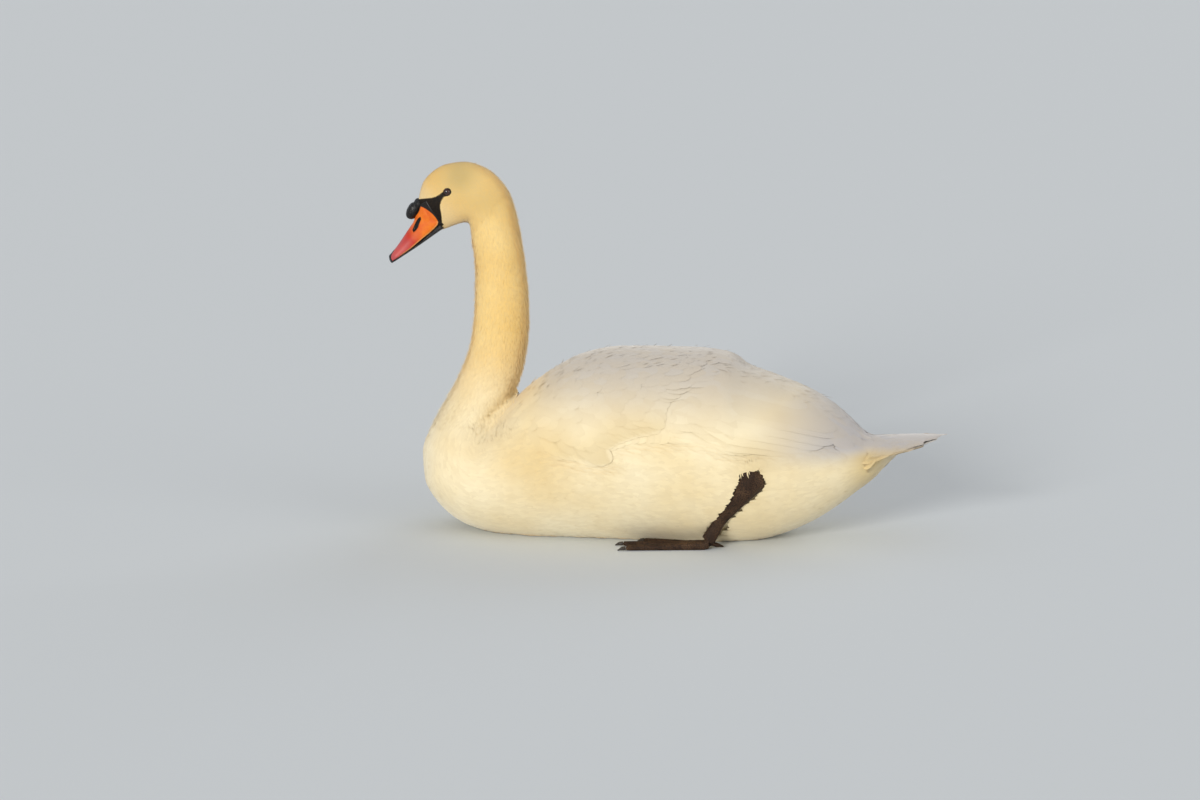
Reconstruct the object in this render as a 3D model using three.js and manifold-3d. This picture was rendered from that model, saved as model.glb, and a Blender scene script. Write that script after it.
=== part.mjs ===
// A mute swan at rest on its belly, life size, as a still museum model.
// Millimetres, +Z up. The swan faces -X, its left side is -Y, and it rests on Z = 0.
import * as THREE from "three";
import { mergeVertices } from "three/addons/utils/BufferGeometryUtils.js";
import Module from "manifold-3d";

const wasm = await Module();
wasm.setup();

// ---------------------------------------------------------------- driving dimensions
const GAP = 0.35; // free space between two pieces that touch
const BODY_SIDES = 20; // points round one section of the body
const NECK_STEPS = 2; // rings for each station of the head and neck
const TRUNK_STEPS = 1; // rings for each station of the breast, trunk and rump
const WING_DEPTH = 13; // how far a folded wing stands out from the body under it
const WING_START_X = -265; // where the wing starts to rise out of the side of the breast
const WING_FULL_X = -120; // where it has its full depth

const HEAD_PITCH = 34; // degrees, the bill pointing down
const KNOB_RISE = 55; // degrees, of the long axis of the knob
const NOSTRIL_RISE = 63;
const BILL_TIP = [-413, 418]; // X and Z of the tip of the bill
const BILL_LENGTH = 106; // along the edge of the mouth, from the tip to inside the cheek
const BILL_WIDTH = 36;
const TIP_HEIGHT = 6.5; // height of the ridge behind the tip
const CULMEN_BASE = 36.5; // height of the ridge in front of the knob
const KNOB_SEAT = 14; // further rise of the ridge under the knob
const NAIL_LENGTH = 12;

const EYE_RADIUS = 7.2;
const EYE_PLACE = { along: 143.2, height: 42.8, side: 23.3 }; // centre, from the tip of the bill

const TAIL_TIP_X = 462;
const TAIL_BASE_X = 296;
const TAIL_Z = 165;
const TAIL_RISE = 8.5; // of its tip above its base
const TAIL_THICK = 6;

const ANKLE = [171, 120, 116]; // X, distance from the middle plane, Z
const TOE_ROOT = [98, 109, 13]; // likewise
const TOE_LENGTH = 128;
const WEB_THICK = 4;
const CLAW_LENGTH = 13;

const OUT = 220; // beyond the widest part of the swan
const ABOVE_ALL = 320; // above the back and the wings

// ---------------------------------------------------------------- materials
const COLOURS = {
  plumage: [0.93, 0.88, 0.76],
  neckPlumage: [0.93, 0.82, 0.58],
  bill: [0.85, 0.3, 0.08],
  billBlack: [0.02, 0.019, 0.018],
  eye: [0.03, 0.02, 0.015],
  foot: [0.045, 0.036, 0.032],
};

function material(kind, roughness) {
  return new THREE.MeshStandardMaterial({
    color: new THREE.Color(...COLOURS[kind]),
    roughness,
    metalness: 0,
  });
}

// ---------------------------------------------------------------- the outline of the body
// Stations from the root of the bill to the end of the under-tail feathers. Each names the point on the
// upper line (nape, back), the point on the lower line (throat, breast, belly), as X and Z, and the
// half width. Sections turn round one point where the neck meets the back.
const STATIONS = [
  // head
  [-369, 518, -334, 468, 17],
  [-363, 541, -323, 472, 22],
  [-349, 559.5, -312, 476.5, 26.5],
  [-324, 574, -302, 480, 29.5],
  [-294, 578.5, -295, 481.5, 31.5],
  [-263, 569.5, -290, 481, 33],
  [-238, 549, -287.5, 476, 34],
  // neck
  [-222, 523, -286.5, 466, 34.5],
  [-213, 492, -285, 450, 35],
  [-206, 455, -281.5, 430, 35.5],
  [-200, 412, -280, 400, 36],
  [-196, 370, -280.5, 368, 37],
  [-195, 330, -282.5, 330, 38.5],
  [-198, 290, -288, 292, 41],
  [-205, 252, -300, 256, 45],
  [-217, 218, -316, 222, 52],
  [-231, 193, -334, 190, 62],
  // breast, where the sections turn
  [-243, 177, -350, 158, 75],
  [-243.2, 176.5, -362.5, 120, 89],
  [-243, 176, -359, 78, 101],
  [-242.5, 175.8, -336, 38, 111],
  [-235, 186, -292, 5, 120],
  // trunk
  [-202, 220, -230, -11, 130],
  [-160, 252, -165, -15, 138],
  [-110, 279, -105, -15, 144],
  [-55, 291, -50, -15, 148],
  [10, 293, 10, -15, 149],
  [70, 293, 70, -15, 146],
  [118, 287, 125, -12, 140],
  [152, 267, 172, -5, 132],
  [195, 253, 216, 9, 119],
  [240, 236, 256, 28, 102],
  [280, 214, 292, 52, 82],
  [310, 189, 322, 76, 64],
  // rump and the feathers under the tail
  [337, 166, 350, 99, 50],
  [368, 160, 375, 129, 43],
  [398, 160.5, 399, 145, 30],
  [424, 162, 424, 156.5, 13],
];
// Station numbers where the pieces part.
const NECK_CUTS = [6, 10, 13, 17];
const [LAST_HEAD, FIRST_TRUNK] = [NECK_CUTS[0], NECK_CUTS.at(-1)];
const BREAST_END = 22;
const RUMP_START = 30;
const LAST_WING = 34;
const LAST_STATION = STATIONS.length - 1;

const COLUMNS = [0, 1, 2, 3, 4].map((c) => STATIONS.map((row) => row[c]));

// The value at a place in a list that need not be whole, on a smooth line with no overshoot.
function smooth(list, at) {
  const i = Math.min(Math.floor(at), list.length - 2);
  const t = at - i;
  const slope = (k) => {
    if (k <= 0 || k >= list.length - 1) return 0;
    const before = list[k] - list[k - 1];
    const after = list[k + 1] - list[k];
    return before * after <= 0 ? 0 : (2 * before * after) / (before + after);
  };
  const [a, b, ma, mb] = [list[i], list[i + 1], slope(i), slope(i + 1)];
  const t2 = t * t;
  const t3 = t2 * t;
  return (
    a * (2 * t3 - 3 * t2 + 1) + ma * (t3 - 2 * t2 + t) + b * (3 * t2 - 2 * t3) + mb * (t3 - t2)
  );
}

// Rises smoothly from 0 to 1 as x goes from one value to another.
function ease(from, to, x) {
  const t = Math.min(1, Math.max(0, (x - from) / (to - from)));
  return t * t * (3 - 2 * t);
}

// One ring of the body, at a station number that need not be whole. The head narrows to its crown.
// inset is taken off the back and the sides only, where a wing lies over them.
const CROWN_NARROWING = 0.16;

function bodyRing(at, inset) {
  const [dx, dz, vx, vz, half] = COLUMNS.map((list) => smooth(list, at));
  const depth = inset * ease(WING_START_X, WING_FULL_X, dx);
  const centre = new THREE.Vector2((dx + vx) / 2, (dz + vz) / 2);
  const axis = new THREE.Vector2(dx - vx, dz - vz).multiplyScalar(0.5);
  const upper = 1 - depth / axis.length();
  const wide = half - depth;
  const headShare = 1 - ease(3, 8, at);
  const ring = [];
  for (let j = 0; j < BODY_SIDES; j++) {
    const angle = (2 * Math.PI * j) / BODY_SIDES;
    const along = Math.cos(angle);
    const lift = along > 0 ? along * upper : along;
    const crown = 1 - CROWN_NARROWING * headShare * Math.max(0, along);
    const z = centre.y + axis.y * lift;
    const x = centre.x + axis.x * lift;
    ring.push([x, wide * crown * Math.sin(angle), Math.max(0, z)]);
  }
  return ring;
}

// ---------------------------------------------------------------- solids from rings and outlines
// Joins rings of points into one closed surface with flat ends. The two halves of a ring have
// their diagonals mirrored, so that the left and right of the swan are alike.
function loft(rings) {
  const sides = rings[0].length;
  const points = rings.flat();
  const faces = [];
  for (let r = 0; r + 1 < rings.length; r++)
    for (let j = 0; j < sides; j++) {
      const k = (j + 1) % sides;
      const [a, b] = [r * sides + j, r * sides + k];
      const [c, d] = [b + sides, a + sides];
      faces.push(...(j < sides / 2 ? [a, b, c, a, c, d] : [b, d, a, b, c, d]));
    }
  const cap = (ring, first, flip) => {
    const middle = new THREE.Vector3();
    for (const p of ring) middle.add(new THREE.Vector3(...p));
    points.push(middle.divideScalar(sides).toArray());
    const m = points.length - 1;
    for (let j = 0; j < sides; j++) {
      const k = (j + 1) % sides;
      faces.push(...(flip ? [m, first + k, first + j] : [m, first + j, first + k]));
    }
  };
  cap(rings[0], 0, true);
  cap(rings.at(-1), (rings.length - 1) * sides, false);
  const geometry = new THREE.BufferGeometry();
  geometry.setAttribute("position", new THREE.Float32BufferAttribute(points.flat(), 3));
  geometry.setIndex(faces);
  return geometry;
}

// A three.js geometry as a manifold-3d solid, turned outside out if need be.
function solid(geometry) {
  const bare = geometry.clone();
  bare.deleteAttribute("normal");
  bare.deleteAttribute("uv");
  const merged = mergeVertices(bare, 1e-3);
  const vertProperties = merged.attributes.position.array;
  const faces = [];
  for (let i = 0; i < merged.index.count; i += 3) faces.push(merged.index.array.slice(i, i + 3));
  const make = (triangles) => {
    const triVerts = new Uint32Array(triangles.flatMap((face) => [...face]));
    return new wasm.Manifold(new wasm.Mesh({ numProp: 3, vertProperties, triVerts }));
  };
  const made = make(faces);
  return made.volume() < 0 ? make(faces.map((face) => face.toReversed())) : made;
}

// A manifold-3d solid as a three.js geometry.
function geometryOf(shape) {
  const mesh = shape.getMesh();
  const geometry = new THREE.BufferGeometry();
  geometry.setAttribute("position", new THREE.BufferAttribute(mesh.vertProperties, mesh.numProp));
  geometry.setIndex(new THREE.BufferAttribute(mesh.triVerts, 1));
  return geometry;
}

// The body between two stations.
function bodyLength(from, to, inset = 0) {
  const steps = Math.round((to - from) * (to > FIRST_TRUNK ? TRUNK_STEPS : NECK_STEPS));
  const rings = [];
  for (let i = 0; i <= steps; i++) rings.push(bodyRing(from + ((to - from) * i) / steps, inset));
  return solid(loft(rings));
}

// A straight prism over an outline: "side" outlines are X and Z, "plan" outlines X and Y.
function prism(outline, from, to, view) {
  const shape = new THREE.Shape(outline.map(([a, b]) => new THREE.Vector2(a, b)));
  const geometry = new THREE.ExtrudeGeometry(shape, { depth: to - from, bevelEnabled: false });
  geometry.translate(0, 0, from);
  if (view === "side") geometry.rotateX(Math.PI / 2);
  return solid(geometry);
}

// An ellipsoid whose first radius lies in the XZ plane, rising backwards by a number of degrees.
function egg(centre, radii, rise, detail) {
  const geometry = new THREE.SphereGeometry(1, detail * 2, detail);
  geometry.rotateX(Math.PI / 2);
  geometry.scale(...radii);
  geometry.rotateY(-THREE.MathUtils.degToRad(rise));
  geometry.translate(...centre);
  return solid(geometry);
}

// Mirrors a solid of the left side to the right.
function mirrored(shape) {
  const geometry = geometryOf(shape);
  geometry.scale(1, -1, 1);
  return solid(geometry);
}

// ---------------------------------------------------------------- head: a frame of its own
// along runs back from the tip of the bill, height runs up from the edge of the mouth.
const pitch = THREE.MathUtils.degToRad(HEAD_PITCH);
function headPoint(along, height, side = 0) {
  return [
    BILL_TIP[0] + along * Math.cos(pitch) - height * Math.sin(pitch),
    side,
    BILL_TIP[1] + along * Math.sin(pitch) + height * Math.cos(pitch),
  ];
}

// Where the horn of the bill ends against the face: along and height, from the ridge to the mouth.
const FACE_EDGE = [
  [77, 60],
  [84, 43],
  [92, 36],
  [99, 25],
  [101, 12],
  [99, 2],
  [94, -12],
];

// Half width of the bill: near parallel, round at the tip.
function billHalf(along) {
  const round = Math.min(1, Math.max(0, along + 1) / 16);
  return (BILL_WIDTH / 2) * Math.sqrt(1 - (1 - round) ** 2) * (0.88 + 0.12 * ease(40, 100, along));
}

// Height of the ridge of the bill.
function culmen(along) {
  const slope = (CULMEN_BASE - TIP_HEIGHT) * ease(-25, 92, along) ** 1.25;
  return TIP_HEIGHT + slope + KNOB_SEAT * ease(62, 90, along);
}

const BILL_SIDES = 14;
const LOWER_BILL_SIDES = 8;
const BILL_STEPS = [-1, 0.5, 3, 7, NAIL_LENGTH, 20, 34, 48, 62, 76, 90, BILL_LENGTH];

// One section of the bill between two heights. roof is 0 for a flat arch, 1 for a ridge.
function billRing(along, low, high, roof, half, sides = BILL_SIDES) {
  const ring = [];
  for (let j = 0; j < sides; j++) {
    const angle = (2 * Math.PI * j) / sides;
    const rise = Math.cos(angle);
    const across = Math.sin(angle);
    const arch = Math.sign(across) * Math.abs(across) ** (0.75 + 0.5 * roof * Math.max(0, rise));
    const middle = low + (high - low) * 0.22;
    ring.push(headPoint(along, middle + (rise > 0 ? high - middle : middle - low) * rise, half * arch));
  }
  return ring;
}

// The upper bill, its surface moved out by grow. Its edge rises towards the corner of the mouth.
function billUpper(grow = 0) {
  const rings = BILL_STEPS.map((along) => {
    const low = -2.5 + 5 * ease(45, BILL_LENGTH, along) - grow;
    const roundTip = 2.5 + ((along + 1) / 4) * (culmen(3) - 2.5);
    const high = (along < 3 ? roundTip : culmen(along)) + grow;
    const half = Math.max(0.8, billHalf(along)) + grow;
    return billRing(along < 0 ? along - grow : along, low, high, ease(10, 80, along), half);
  });
  return solid(loft(rings));
}

// The lower bill shows as a thin edge under the upper one.
const LOWER_BILL_INSET = 1.4;

function billLower() {
  const rings = BILL_STEPS.slice(2).map((along) => {
    const low = -3.8 + 1.6 * ease(40, BILL_LENGTH, along);
    const high = 2 + 9 * ease(45, BILL_LENGTH, along);
    return billRing(along, low, high, 0, billHalf(along) - LOWER_BILL_INSET, LOWER_BILL_SIDES);
  });
  return solid(loft(rings));
}

// The block of the tip of the bill that is nail.
function nailBlock(grow) {
  const corners = [
    [-10, -20],
    [NAIL_LENGTH - 6 + grow, -20],
    [NAIL_LENGTH + grow, 30],
    [-10, 30],
  ];
  return headPrism(corners);
}

// A prism right through the head, over an outline in along and height.
function headPrism(outline) {
  const corners = outline.map(([along, height]) => headPoint(along, height));
  return prism(corners.map(([x, , z]) => [x, z]), -OUT, OUT, "side");
}

// The region in front of the face, less a margin.
function beforeFace(margin) {
  return headPrism([[-30, -40], [-30, 60], ...FACE_EDGE.map(([a, h]) => [a - margin, h])]);
}

// The knob leans forward over the ridge and joins the forehead behind.
function billKnob(grow = 0) {
  const radii = (...list) => list.map((r) => r + grow);
  const front = egg(headPoint(76, 46.5), radii(15.5, 10.5, 9.8), KNOB_RISE, 6);
  const back = egg(headPoint(90, 51), radii(13, 10.5, 8), KNOB_RISE, 5);
  return front.add(back);
}

// A slot through both sides of the bill, which opens the nostrils.
function nostrils() {
  return egg(headPoint(67, 24), [11.5, 30, 2.6], NOSTRIL_RISE, 5);
}

// ---------------------------------------------------------------- tail
const TAIL_SIDES = 16;
const TAIL_HALVES = [44, 56, 63, 60, 48, 28, 6]; // half widths from its base to its tip
const TAIL_DROP = 9; // of its sides below its middle, where it is widest

function tail(grow = 0) {
  const rings = TAIL_HALVES.map((_, i) => {
    const share = i / (TAIL_HALVES.length - 1);
    const x = TAIL_BASE_X + (TAIL_TIP_X - TAIL_BASE_X) * share ** 0.85;
    const half = TAIL_HALVES[i] + grow;
    const thick = (TAIL_THICK / 2) * (1.2 - 0.75 * share) + grow;
    const z = TAIL_Z - 3 + TAIL_RISE * (0.5 * share + 0.5 * share ** 4);
    const ring = [];
    for (let j = 0; j < TAIL_SIDES; j++) {
      const angle = (2 * Math.PI * j) / TAIL_SIDES;
      const across = Math.sin(angle);
      const drop = TAIL_DROP * across * across * (half / 60);
      ring.push([x, half * across, z + thick * Math.cos(angle) - drop]);
    }
    return ring;
  });
  return solid(loft(rings));
}

// ---------------------------------------------------------------- wings
// Lower edges of the folded wing in side view, from the shoulder back to the tip.
const SCAPULAR_EDGE = [
  [-222, 203],
  [-205, 187],
  [-155, 166],
  [-100, 143],
  [-62, 130],
  [-43, 131],
  [-49, 150],
  [-12, 170],
  [30, 190],
  [44, 222],
  [70, 262],
  [128, 276],
  [158, 300],
];
const SECONDARY_EDGE = [
  [-60, 160],
  [0, 150],
  [70, 142],
  [150, 141],
  [205, 150],
  [232, 163],
  [262, 192],
  [292, 260],
];
const PRIMARY_EDGE = [
  [180, 148],
  [235, 158],
  [290, 164],
  [347, 160],
  [347, 260],
];
// From the top layer down: each layer covers the start of the next.
const WING_LAYERS = {
  scapulars: SCAPULAR_EDGE,
  secondaries: SECONDARY_EDGE,
  primaries: PRIMARY_EDGE,
};
// Half width of the strip of back feathers between the wings, in plan.
const MANTLE = [
  [-300, 60],
  [-200, 40],
  [-60, 22],
  [120, 10],
  [240, 4],
  [400, 4],
];

// All that lies above a lower edge in side view. A margin moves the edge back and down.
function aboveEdge(edge, margin = 0) {
  const moved = edge.map(([x, z]) => [x + margin, z - margin]);
  const [first, last] = [moved[0], moved.at(-1)];
  return prism([...moved, [last[0], ABOVE_ALL], [first[0], ABOVE_ALL]], -OUT, OUT, "side");
}

// The part of a solid that lies to the left of the strip of back feathers.
function leftOfMantle(shape) {
  const plan = [...MANTLE, [400, OUT], [-300, OUT]].map(([x, y]) => [x, -y]);
  return shape.intersect(prism(plan, -1, ABOVE_ALL + 1, "plan"));
}

// The three layers of the left wing, and the room that they take out of the body.
function leftWing() {
  const shell = bodyLength(FIRST_TRUNK + 1, LAST_WING).subtract(
    bodyLength(FIRST_TRUNK + 1, LAST_WING, WING_DEPTH - GAP),
  );
  let rest = leftOfMantle(shell).subtract(tail(GAP));
  const layers = {};
  const rooms = [];
  for (const [name, edge] of Object.entries(WING_LAYERS)) {
    const room = aboveEdge(edge).add(aboveEdge(edge, GAP));
    layers[name] = rest.intersect(aboveEdge(edge));
    rest = rest.subtract(room);
    rooms.push(room);
  }
  return { layers, room: leftOfMantle(rooms.reduce((all, room) => all.add(room))) };
}

// ---------------------------------------------------------------- legs
// A tube through some points, its radius running through a list, that stays above the ground.
function tube(points, radii, { flatten = 1, stepsEach = 1, sides = 6 } = {}) {
  const curve = new THREE.CatmullRomCurve3(points.map((p) => new THREE.Vector3(...p)));
  const rings = [];
  const steps = (points.length - 1) * stepsEach;
  for (let i = 0; i <= steps; i++) {
    const t = i / steps;
    const centre = curve.getPoint(t);
    const forward = curve.getTangent(t);
    const across = new THREE.Vector3(0, 1, 0).addScaledVector(forward, -forward.y).normalize();
    const up = new THREE.Vector3().crossVectors(forward, across);
    const radius = smooth(radii, t * (radii.length - 1));
    const ring = [];
    for (let j = 0; j < sides; j++) {
      const angle = (2 * Math.PI * j) / sides;
      const p = centre
        .clone()
        .addScaledVector(across, radius * flatten * Math.sin(angle))
        .addScaledVector(up, radius * Math.cos(angle));
      ring.push([p.x, p.y, Math.max(0, p.z)]);
    }
    rings.push(ring);
  }
  return solid(loft(rings));
}

const SHANK_FORM = { flatten: 0.62, stepsEach: 3, sides: 8 };

// Left shank: the ankle at the flank, the shank folded down and forward to the toes.
function shank(grow = 0) {
  const [ax, ay, az] = ANKLE;
  const [tx, ty, tz] = TOE_ROOT;
  const path = [
    [ax + 6, -ay + 7, az + 10],
    [ax, -ay, az],
    [ax - 24, -ay - 1, az - 38],
    [tx + 24, -ty, tz + 34],
    [tx + 4, -ty, tz + 1],
  ];
  return tube(path, [15, 23, 12, 9.5, 11.5].map((r) => r + grow), SHANK_FORM);
}

// The toes of the left foot: degrees from straight ahead, and the share of the full toe length.
const TOES = {
  outer: { turn: -13, share: 0.96 },
  middle: { turn: 1, share: 1 },
  inner: { turn: 16, share: 0.8 },
};

// A point along a toe: along runs from 0 at its root to 1 at the root of its claw.
function toePoint({ turn, share }, along, z) {
  const angle = THREE.MathUtils.degToRad(turn);
  const reach = TOE_LENGTH * share * along;
  return [TOE_ROOT[0] - reach * Math.cos(angle), -TOE_ROOT[1] + reach * Math.sin(angle), z];
}

// The left foot lies flat on the ground: three toes joined by web, and a small hind toe.
function foot(grow = 0) {
  const [tx, ty] = TOE_ROOT;
  const toes = Object.values(TOES).map((toe) => {
    const at = (along, z) => toePoint(toe, along, z);
    const radii = [9, 6.6, 5.8, 4.8, 4.2].map((r) => r + grow);
    return tube([at(-0.04, 7), at(0.32, 5), at(0.64, 4.4), at(0.9, 4), at(1, 3.8)], radii);
  });
  const [outer, middle, inner] = Object.values(TOES).map((toe) => toePoint(toe, 0.98, 0));
  const dent = (a, b) => [(a[0] + b[0]) / 2 + 8, (a[1] + b[1]) / 2];
  const corners = [inner, dent(inner, middle), middle, dent(middle, outer), outer];
  const web = prism([[tx, -ty + 7], ...corners, [tx, -ty - 7]], 0, WEB_THICK + grow, "plan");
  const hind = tube(
    [
      [tx + 4, -ty + 7, 9],
      [tx + 17, -ty + 10, 5],
      [tx + 28, -ty + 12, 2.4],
    ],
    [4.5, 4, 1.2].map((r) => r + grow),
  );
  return toes.reduce((all, toe) => all.add(toe), web).add(hind);
}

// A claw carries its toe on by its own length, and touches the ground with its tip.
function claw(toe) {
  const reach = TOE_LENGTH * toe.share;
  const at = (length, z) => toePoint(toe, (reach + length) / reach, z);
  return tube([at(GAP, 4.2), at(CLAW_LENGTH / 2, 3.6), at(CLAW_LENGTH, 0.9)], [3.4, 2.8, 0.8]);
}

// ---------------------------------------------------------------- pieces
const swan = new THREE.Group();

function place(name, shape, look) {
  const mesh = new THREE.Mesh(geometryOf(shape), look);
  mesh.name = name;
  swan.add(mesh);
}

const white = material("plumage", 0.85);
const buff = material("neckPlumage", 0.85);
const black = material("billBlack", 0.45);

const SHORT = 0.012; // of a station, by which the lengths of head and neck stop short of each other

const eyes = [-1, 1].map((side) => {
  const { along, height, side: out } = EYE_PLACE;
  return (grow) => egg(headPoint(along, height, side * out), Array(3).fill(EYE_RADIUS + grow), 0, 7);
});
let head = bodyLength(0, LAST_HEAD - SHORT).subtract(beforeFace(0)).subtract(billKnob(GAP));
for (const eye of eyes) head = head.subtract(eye(GAP));
place("head", head, buff);
place("eye_left", eyes[0](0), material("eye", 0.08));
place("eye_right", eyes[1](0), material("eye", 0.08));

NECK_CUTS.slice(0, -1).forEach((from, i) => {
  const names = ["neck_upper", "neck_middle", "neck_lower"];
  place(names[i], bodyLength(from + SHORT, NECK_CUTS[i + 1] - SHORT), buff);
});

const horn = beforeFace(GAP);
const bill = billUpper().intersect(horn).subtract(nostrils()).subtract(billKnob(GAP));
place("bill_upper", bill.subtract(nailBlock(GAP)), material("bill", 0.4));
place("bill_nail", bill.intersect(nailBlock(0)), black);
place("bill_lower", billLower().intersect(horn).subtract(billUpper(GAP)), black);
place("bill_knob", billKnob(), black);

// Breast, trunk and rump: the whole hull less the wings, legs and tail, parted by thin cuts.
const wing = leftWing();
const legRoom = shank(GAP).add(foot(GAP));
const bothSides = (shape) => shape.add(mirrored(shape));
const hull = bodyLength(FIRST_TRUNK, LAST_STATION)
  .subtract(bothSides(wing.room))
  .add(bodyLength(FIRST_TRUNK, LAST_WING, WING_DEPTH))
  .subtract(bothSides(legRoom))
  .subtract(tail(GAP));

// The part of a shape between two planes across the swan.
function between(shape, from, to) {
  const slab = new THREE.BoxGeometry(to - from, 2 * OUT, 2 * ABOVE_ALL);
  slab.translate((from + to) / 2, 0, 0);
  return shape.intersect(solid(slab));
}

const middleX = (station) => (STATIONS[station][0] + STATIONS[station][2]) / 2;
const [breastEnd, rumpStart] = [middleX(BREAST_END), middleX(RUMP_START)];
place("breast", between(hull, -500, breastEnd - GAP), white);
place("trunk", between(hull, breastEnd, rumpStart - GAP), white);
place("rump", between(hull, rumpStart, 500), white);

for (const [layer, shape] of Object.entries(wing.layers)) {
  place(`wing_left_${layer}`, shape, white);
  place(`wing_right_${layer}`, mirrored(shape), white);
}
place("tail", tail(), white);

const footSkin = material("foot", 0.6);
const footAlone = foot().subtract(shank(GAP));
place("leg_left", shank(), footSkin);
place("leg_right", mirrored(shank()), footSkin);
place("foot_left", footAlone, footSkin);
place("foot_right", mirrored(footAlone), footSkin);
for (const [name, toe] of Object.entries(TOES)) {
  place(`claw_left_${name}`, claw(toe), black);
  place(`claw_right_${name}`, mirrored(claw(toe)), black);
}

// The frame's origin is on the ground, under the middle of the swan.
const box = new THREE.Box3().setFromObject(swan);
swan.position.set(-(box.min.x + box.max.x) / 2, -(box.min.y + box.max.y) / 2, -box.min.z);

export default swan;
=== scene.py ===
"""A mute swan at rest, life size: skin, plumage, bill, eyes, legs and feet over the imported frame.

Lengths are written in millimetres and turned into metres at the end. The swan faces -X and its left
side is -Y. Places on the body have two coordinates. A station number s runs from the root of the bill
(0) along head, neck, breast and trunk to the feathers under the tail. A turn t runs round the section
there: 0 on the upper line (crown, nape, back), pi on the lower one (throat, breast, belly), positive on
the swan's right.
"""
import bpy
import numpy as np
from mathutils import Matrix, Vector
from mathutils.bvhtree import BVHTree


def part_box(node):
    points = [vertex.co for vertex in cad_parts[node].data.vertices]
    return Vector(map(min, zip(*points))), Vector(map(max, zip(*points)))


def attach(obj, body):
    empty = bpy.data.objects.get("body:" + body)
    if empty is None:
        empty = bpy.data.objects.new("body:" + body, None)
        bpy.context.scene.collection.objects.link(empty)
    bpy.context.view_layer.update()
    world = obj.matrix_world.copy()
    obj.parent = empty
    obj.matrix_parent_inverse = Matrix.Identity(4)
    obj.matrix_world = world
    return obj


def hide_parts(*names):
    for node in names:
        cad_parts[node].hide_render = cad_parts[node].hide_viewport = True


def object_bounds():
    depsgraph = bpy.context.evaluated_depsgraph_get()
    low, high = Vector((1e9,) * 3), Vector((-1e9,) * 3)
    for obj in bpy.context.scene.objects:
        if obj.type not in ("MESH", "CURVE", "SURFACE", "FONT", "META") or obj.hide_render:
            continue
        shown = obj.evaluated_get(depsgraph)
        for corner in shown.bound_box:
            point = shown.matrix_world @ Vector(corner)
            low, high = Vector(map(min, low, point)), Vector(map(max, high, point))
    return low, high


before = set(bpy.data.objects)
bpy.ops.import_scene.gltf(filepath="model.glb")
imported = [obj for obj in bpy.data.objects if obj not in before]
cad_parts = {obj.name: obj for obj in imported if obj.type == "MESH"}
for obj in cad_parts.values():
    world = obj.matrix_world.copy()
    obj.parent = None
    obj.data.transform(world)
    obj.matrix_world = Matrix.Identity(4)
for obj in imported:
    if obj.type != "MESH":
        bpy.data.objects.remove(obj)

CAD_BOX = [list(corner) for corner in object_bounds()]
CHANCE = np.random.default_rng(11)
MM = 0.001
SIDES = {"left": -1, "right": 1}  # each side's sign of Y


def jitter(count, low, high):
    """Chance values between low and high."""
    return CHANCE.uniform(low, high, count)


def circle(count):
    """Angles evenly round a circle."""
    return np.linspace(0, 2 * np.pi, count, endpoint=False)


# ------------ the form of the body, in mm
# One section to a row: upper point X, Z, lower point X, Z and half width, as the frame's solids have them.
STATIONS = np.array([
    # head
    (-369, 518, -334, 468, 17),
    (-363, 541, -323, 472, 22),
    (-349, 559.5, -312, 476.5, 26.5),
    (-324, 574, -302, 480, 29.5),
    (-294, 578.5, -295, 481.5, 31.5),
    (-263, 569.5, -290, 481, 33),
    (-238, 549, -287.5, 476, 34),
    # neck
    (-222, 523, -286.5, 466, 34.5),
    (-213, 492, -285, 450, 35),
    (-206, 455, -281.5, 430, 35.5),
    (-200, 412, -280, 400, 36),
    (-196, 370, -280.5, 368, 37),
    (-195, 330, -282.5, 330, 38.5),
    (-198, 290, -288, 292, 41),
    (-205, 252, -300, 256, 45),
    (-217, 218, -316, 222, 52),
    (-231, 193, -334, 190, 62),
    # breast, where the sections turn
    (-243, 177, -350, 158, 75),
    (-243.2, 176.5, -362.5, 120, 89),
    (-243, 176, -359, 78, 101),
    (-242.5, 175.8, -336, 38, 111),
    (-235, 186, -292, 5, 120),
    # trunk
    (-202, 220, -230, -11, 130),
    (-160, 252, -165, -15, 138),
    (-110, 279, -105, -15, 144),
    (-55, 291, -50, -15, 148),
    (10, 293, 10, -15, 149),
    (70, 293, 70, -15, 146),
    (118, 287, 125, -12, 140),
    (152, 267, 172, -5, 132),
    (195, 253, 216, 9, 119),
    (240, 236, 256, 28, 102),
    (280, 214, 292, 52, 82),
    (310, 189, 322, 76, 64),
    # rump and the feathers under the tail
    (337, 166, 350, 99, 50),
    (368, 160, 375, 129, 43),
    (398, 160.5, 399, 145, 30),
    (424, 162, 424, 156.5, 13),
], float)
LAST = len(STATIONS) - 1
CROWN_NARROWING = 0.16  # share of its width that the head loses at the crown
TAIL_TIP_X = 462
MIDDLE_X = TAIL_TIP_X - CAD_BOX[1][0] / MM  # from the stations' zero to the frame's


def slopes(values):
    """Slopes for a smooth line through the values that never overshoots."""
    step = np.diff(values, axis=0)
    before, after = step[:-1], step[1:]
    same = before * after > 0
    inner = np.where(same, 2 * before * after / np.where(same, before + after, 1), 0)
    flat = np.zeros((1, values.shape[1]))
    return np.vstack([flat, inner, flat])


def smooth_rows(table, slope, s):
    """Rows of a table at numbers between its own rows, on smooth lines through them."""
    i = np.clip(np.floor(s).astype(int), 0, len(table) - 2)
    u = (s - i)[..., None]
    a, b, ma, mb = table[i], table[i + 1], slope[i], slope[i + 1]
    return (a * (2 * u**3 - 3 * u**2 + 1) + ma * (u**3 - 2 * u**2 + u)
            + b * (3 * u**2 - 2 * u**3) + mb * (u**3 - u**2))


SLOPES = slopes(STATIONS)


def at_station(s):
    """The five values of the section at each station number."""
    return smooth_rows(STATIONS, SLOPES, s)


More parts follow.
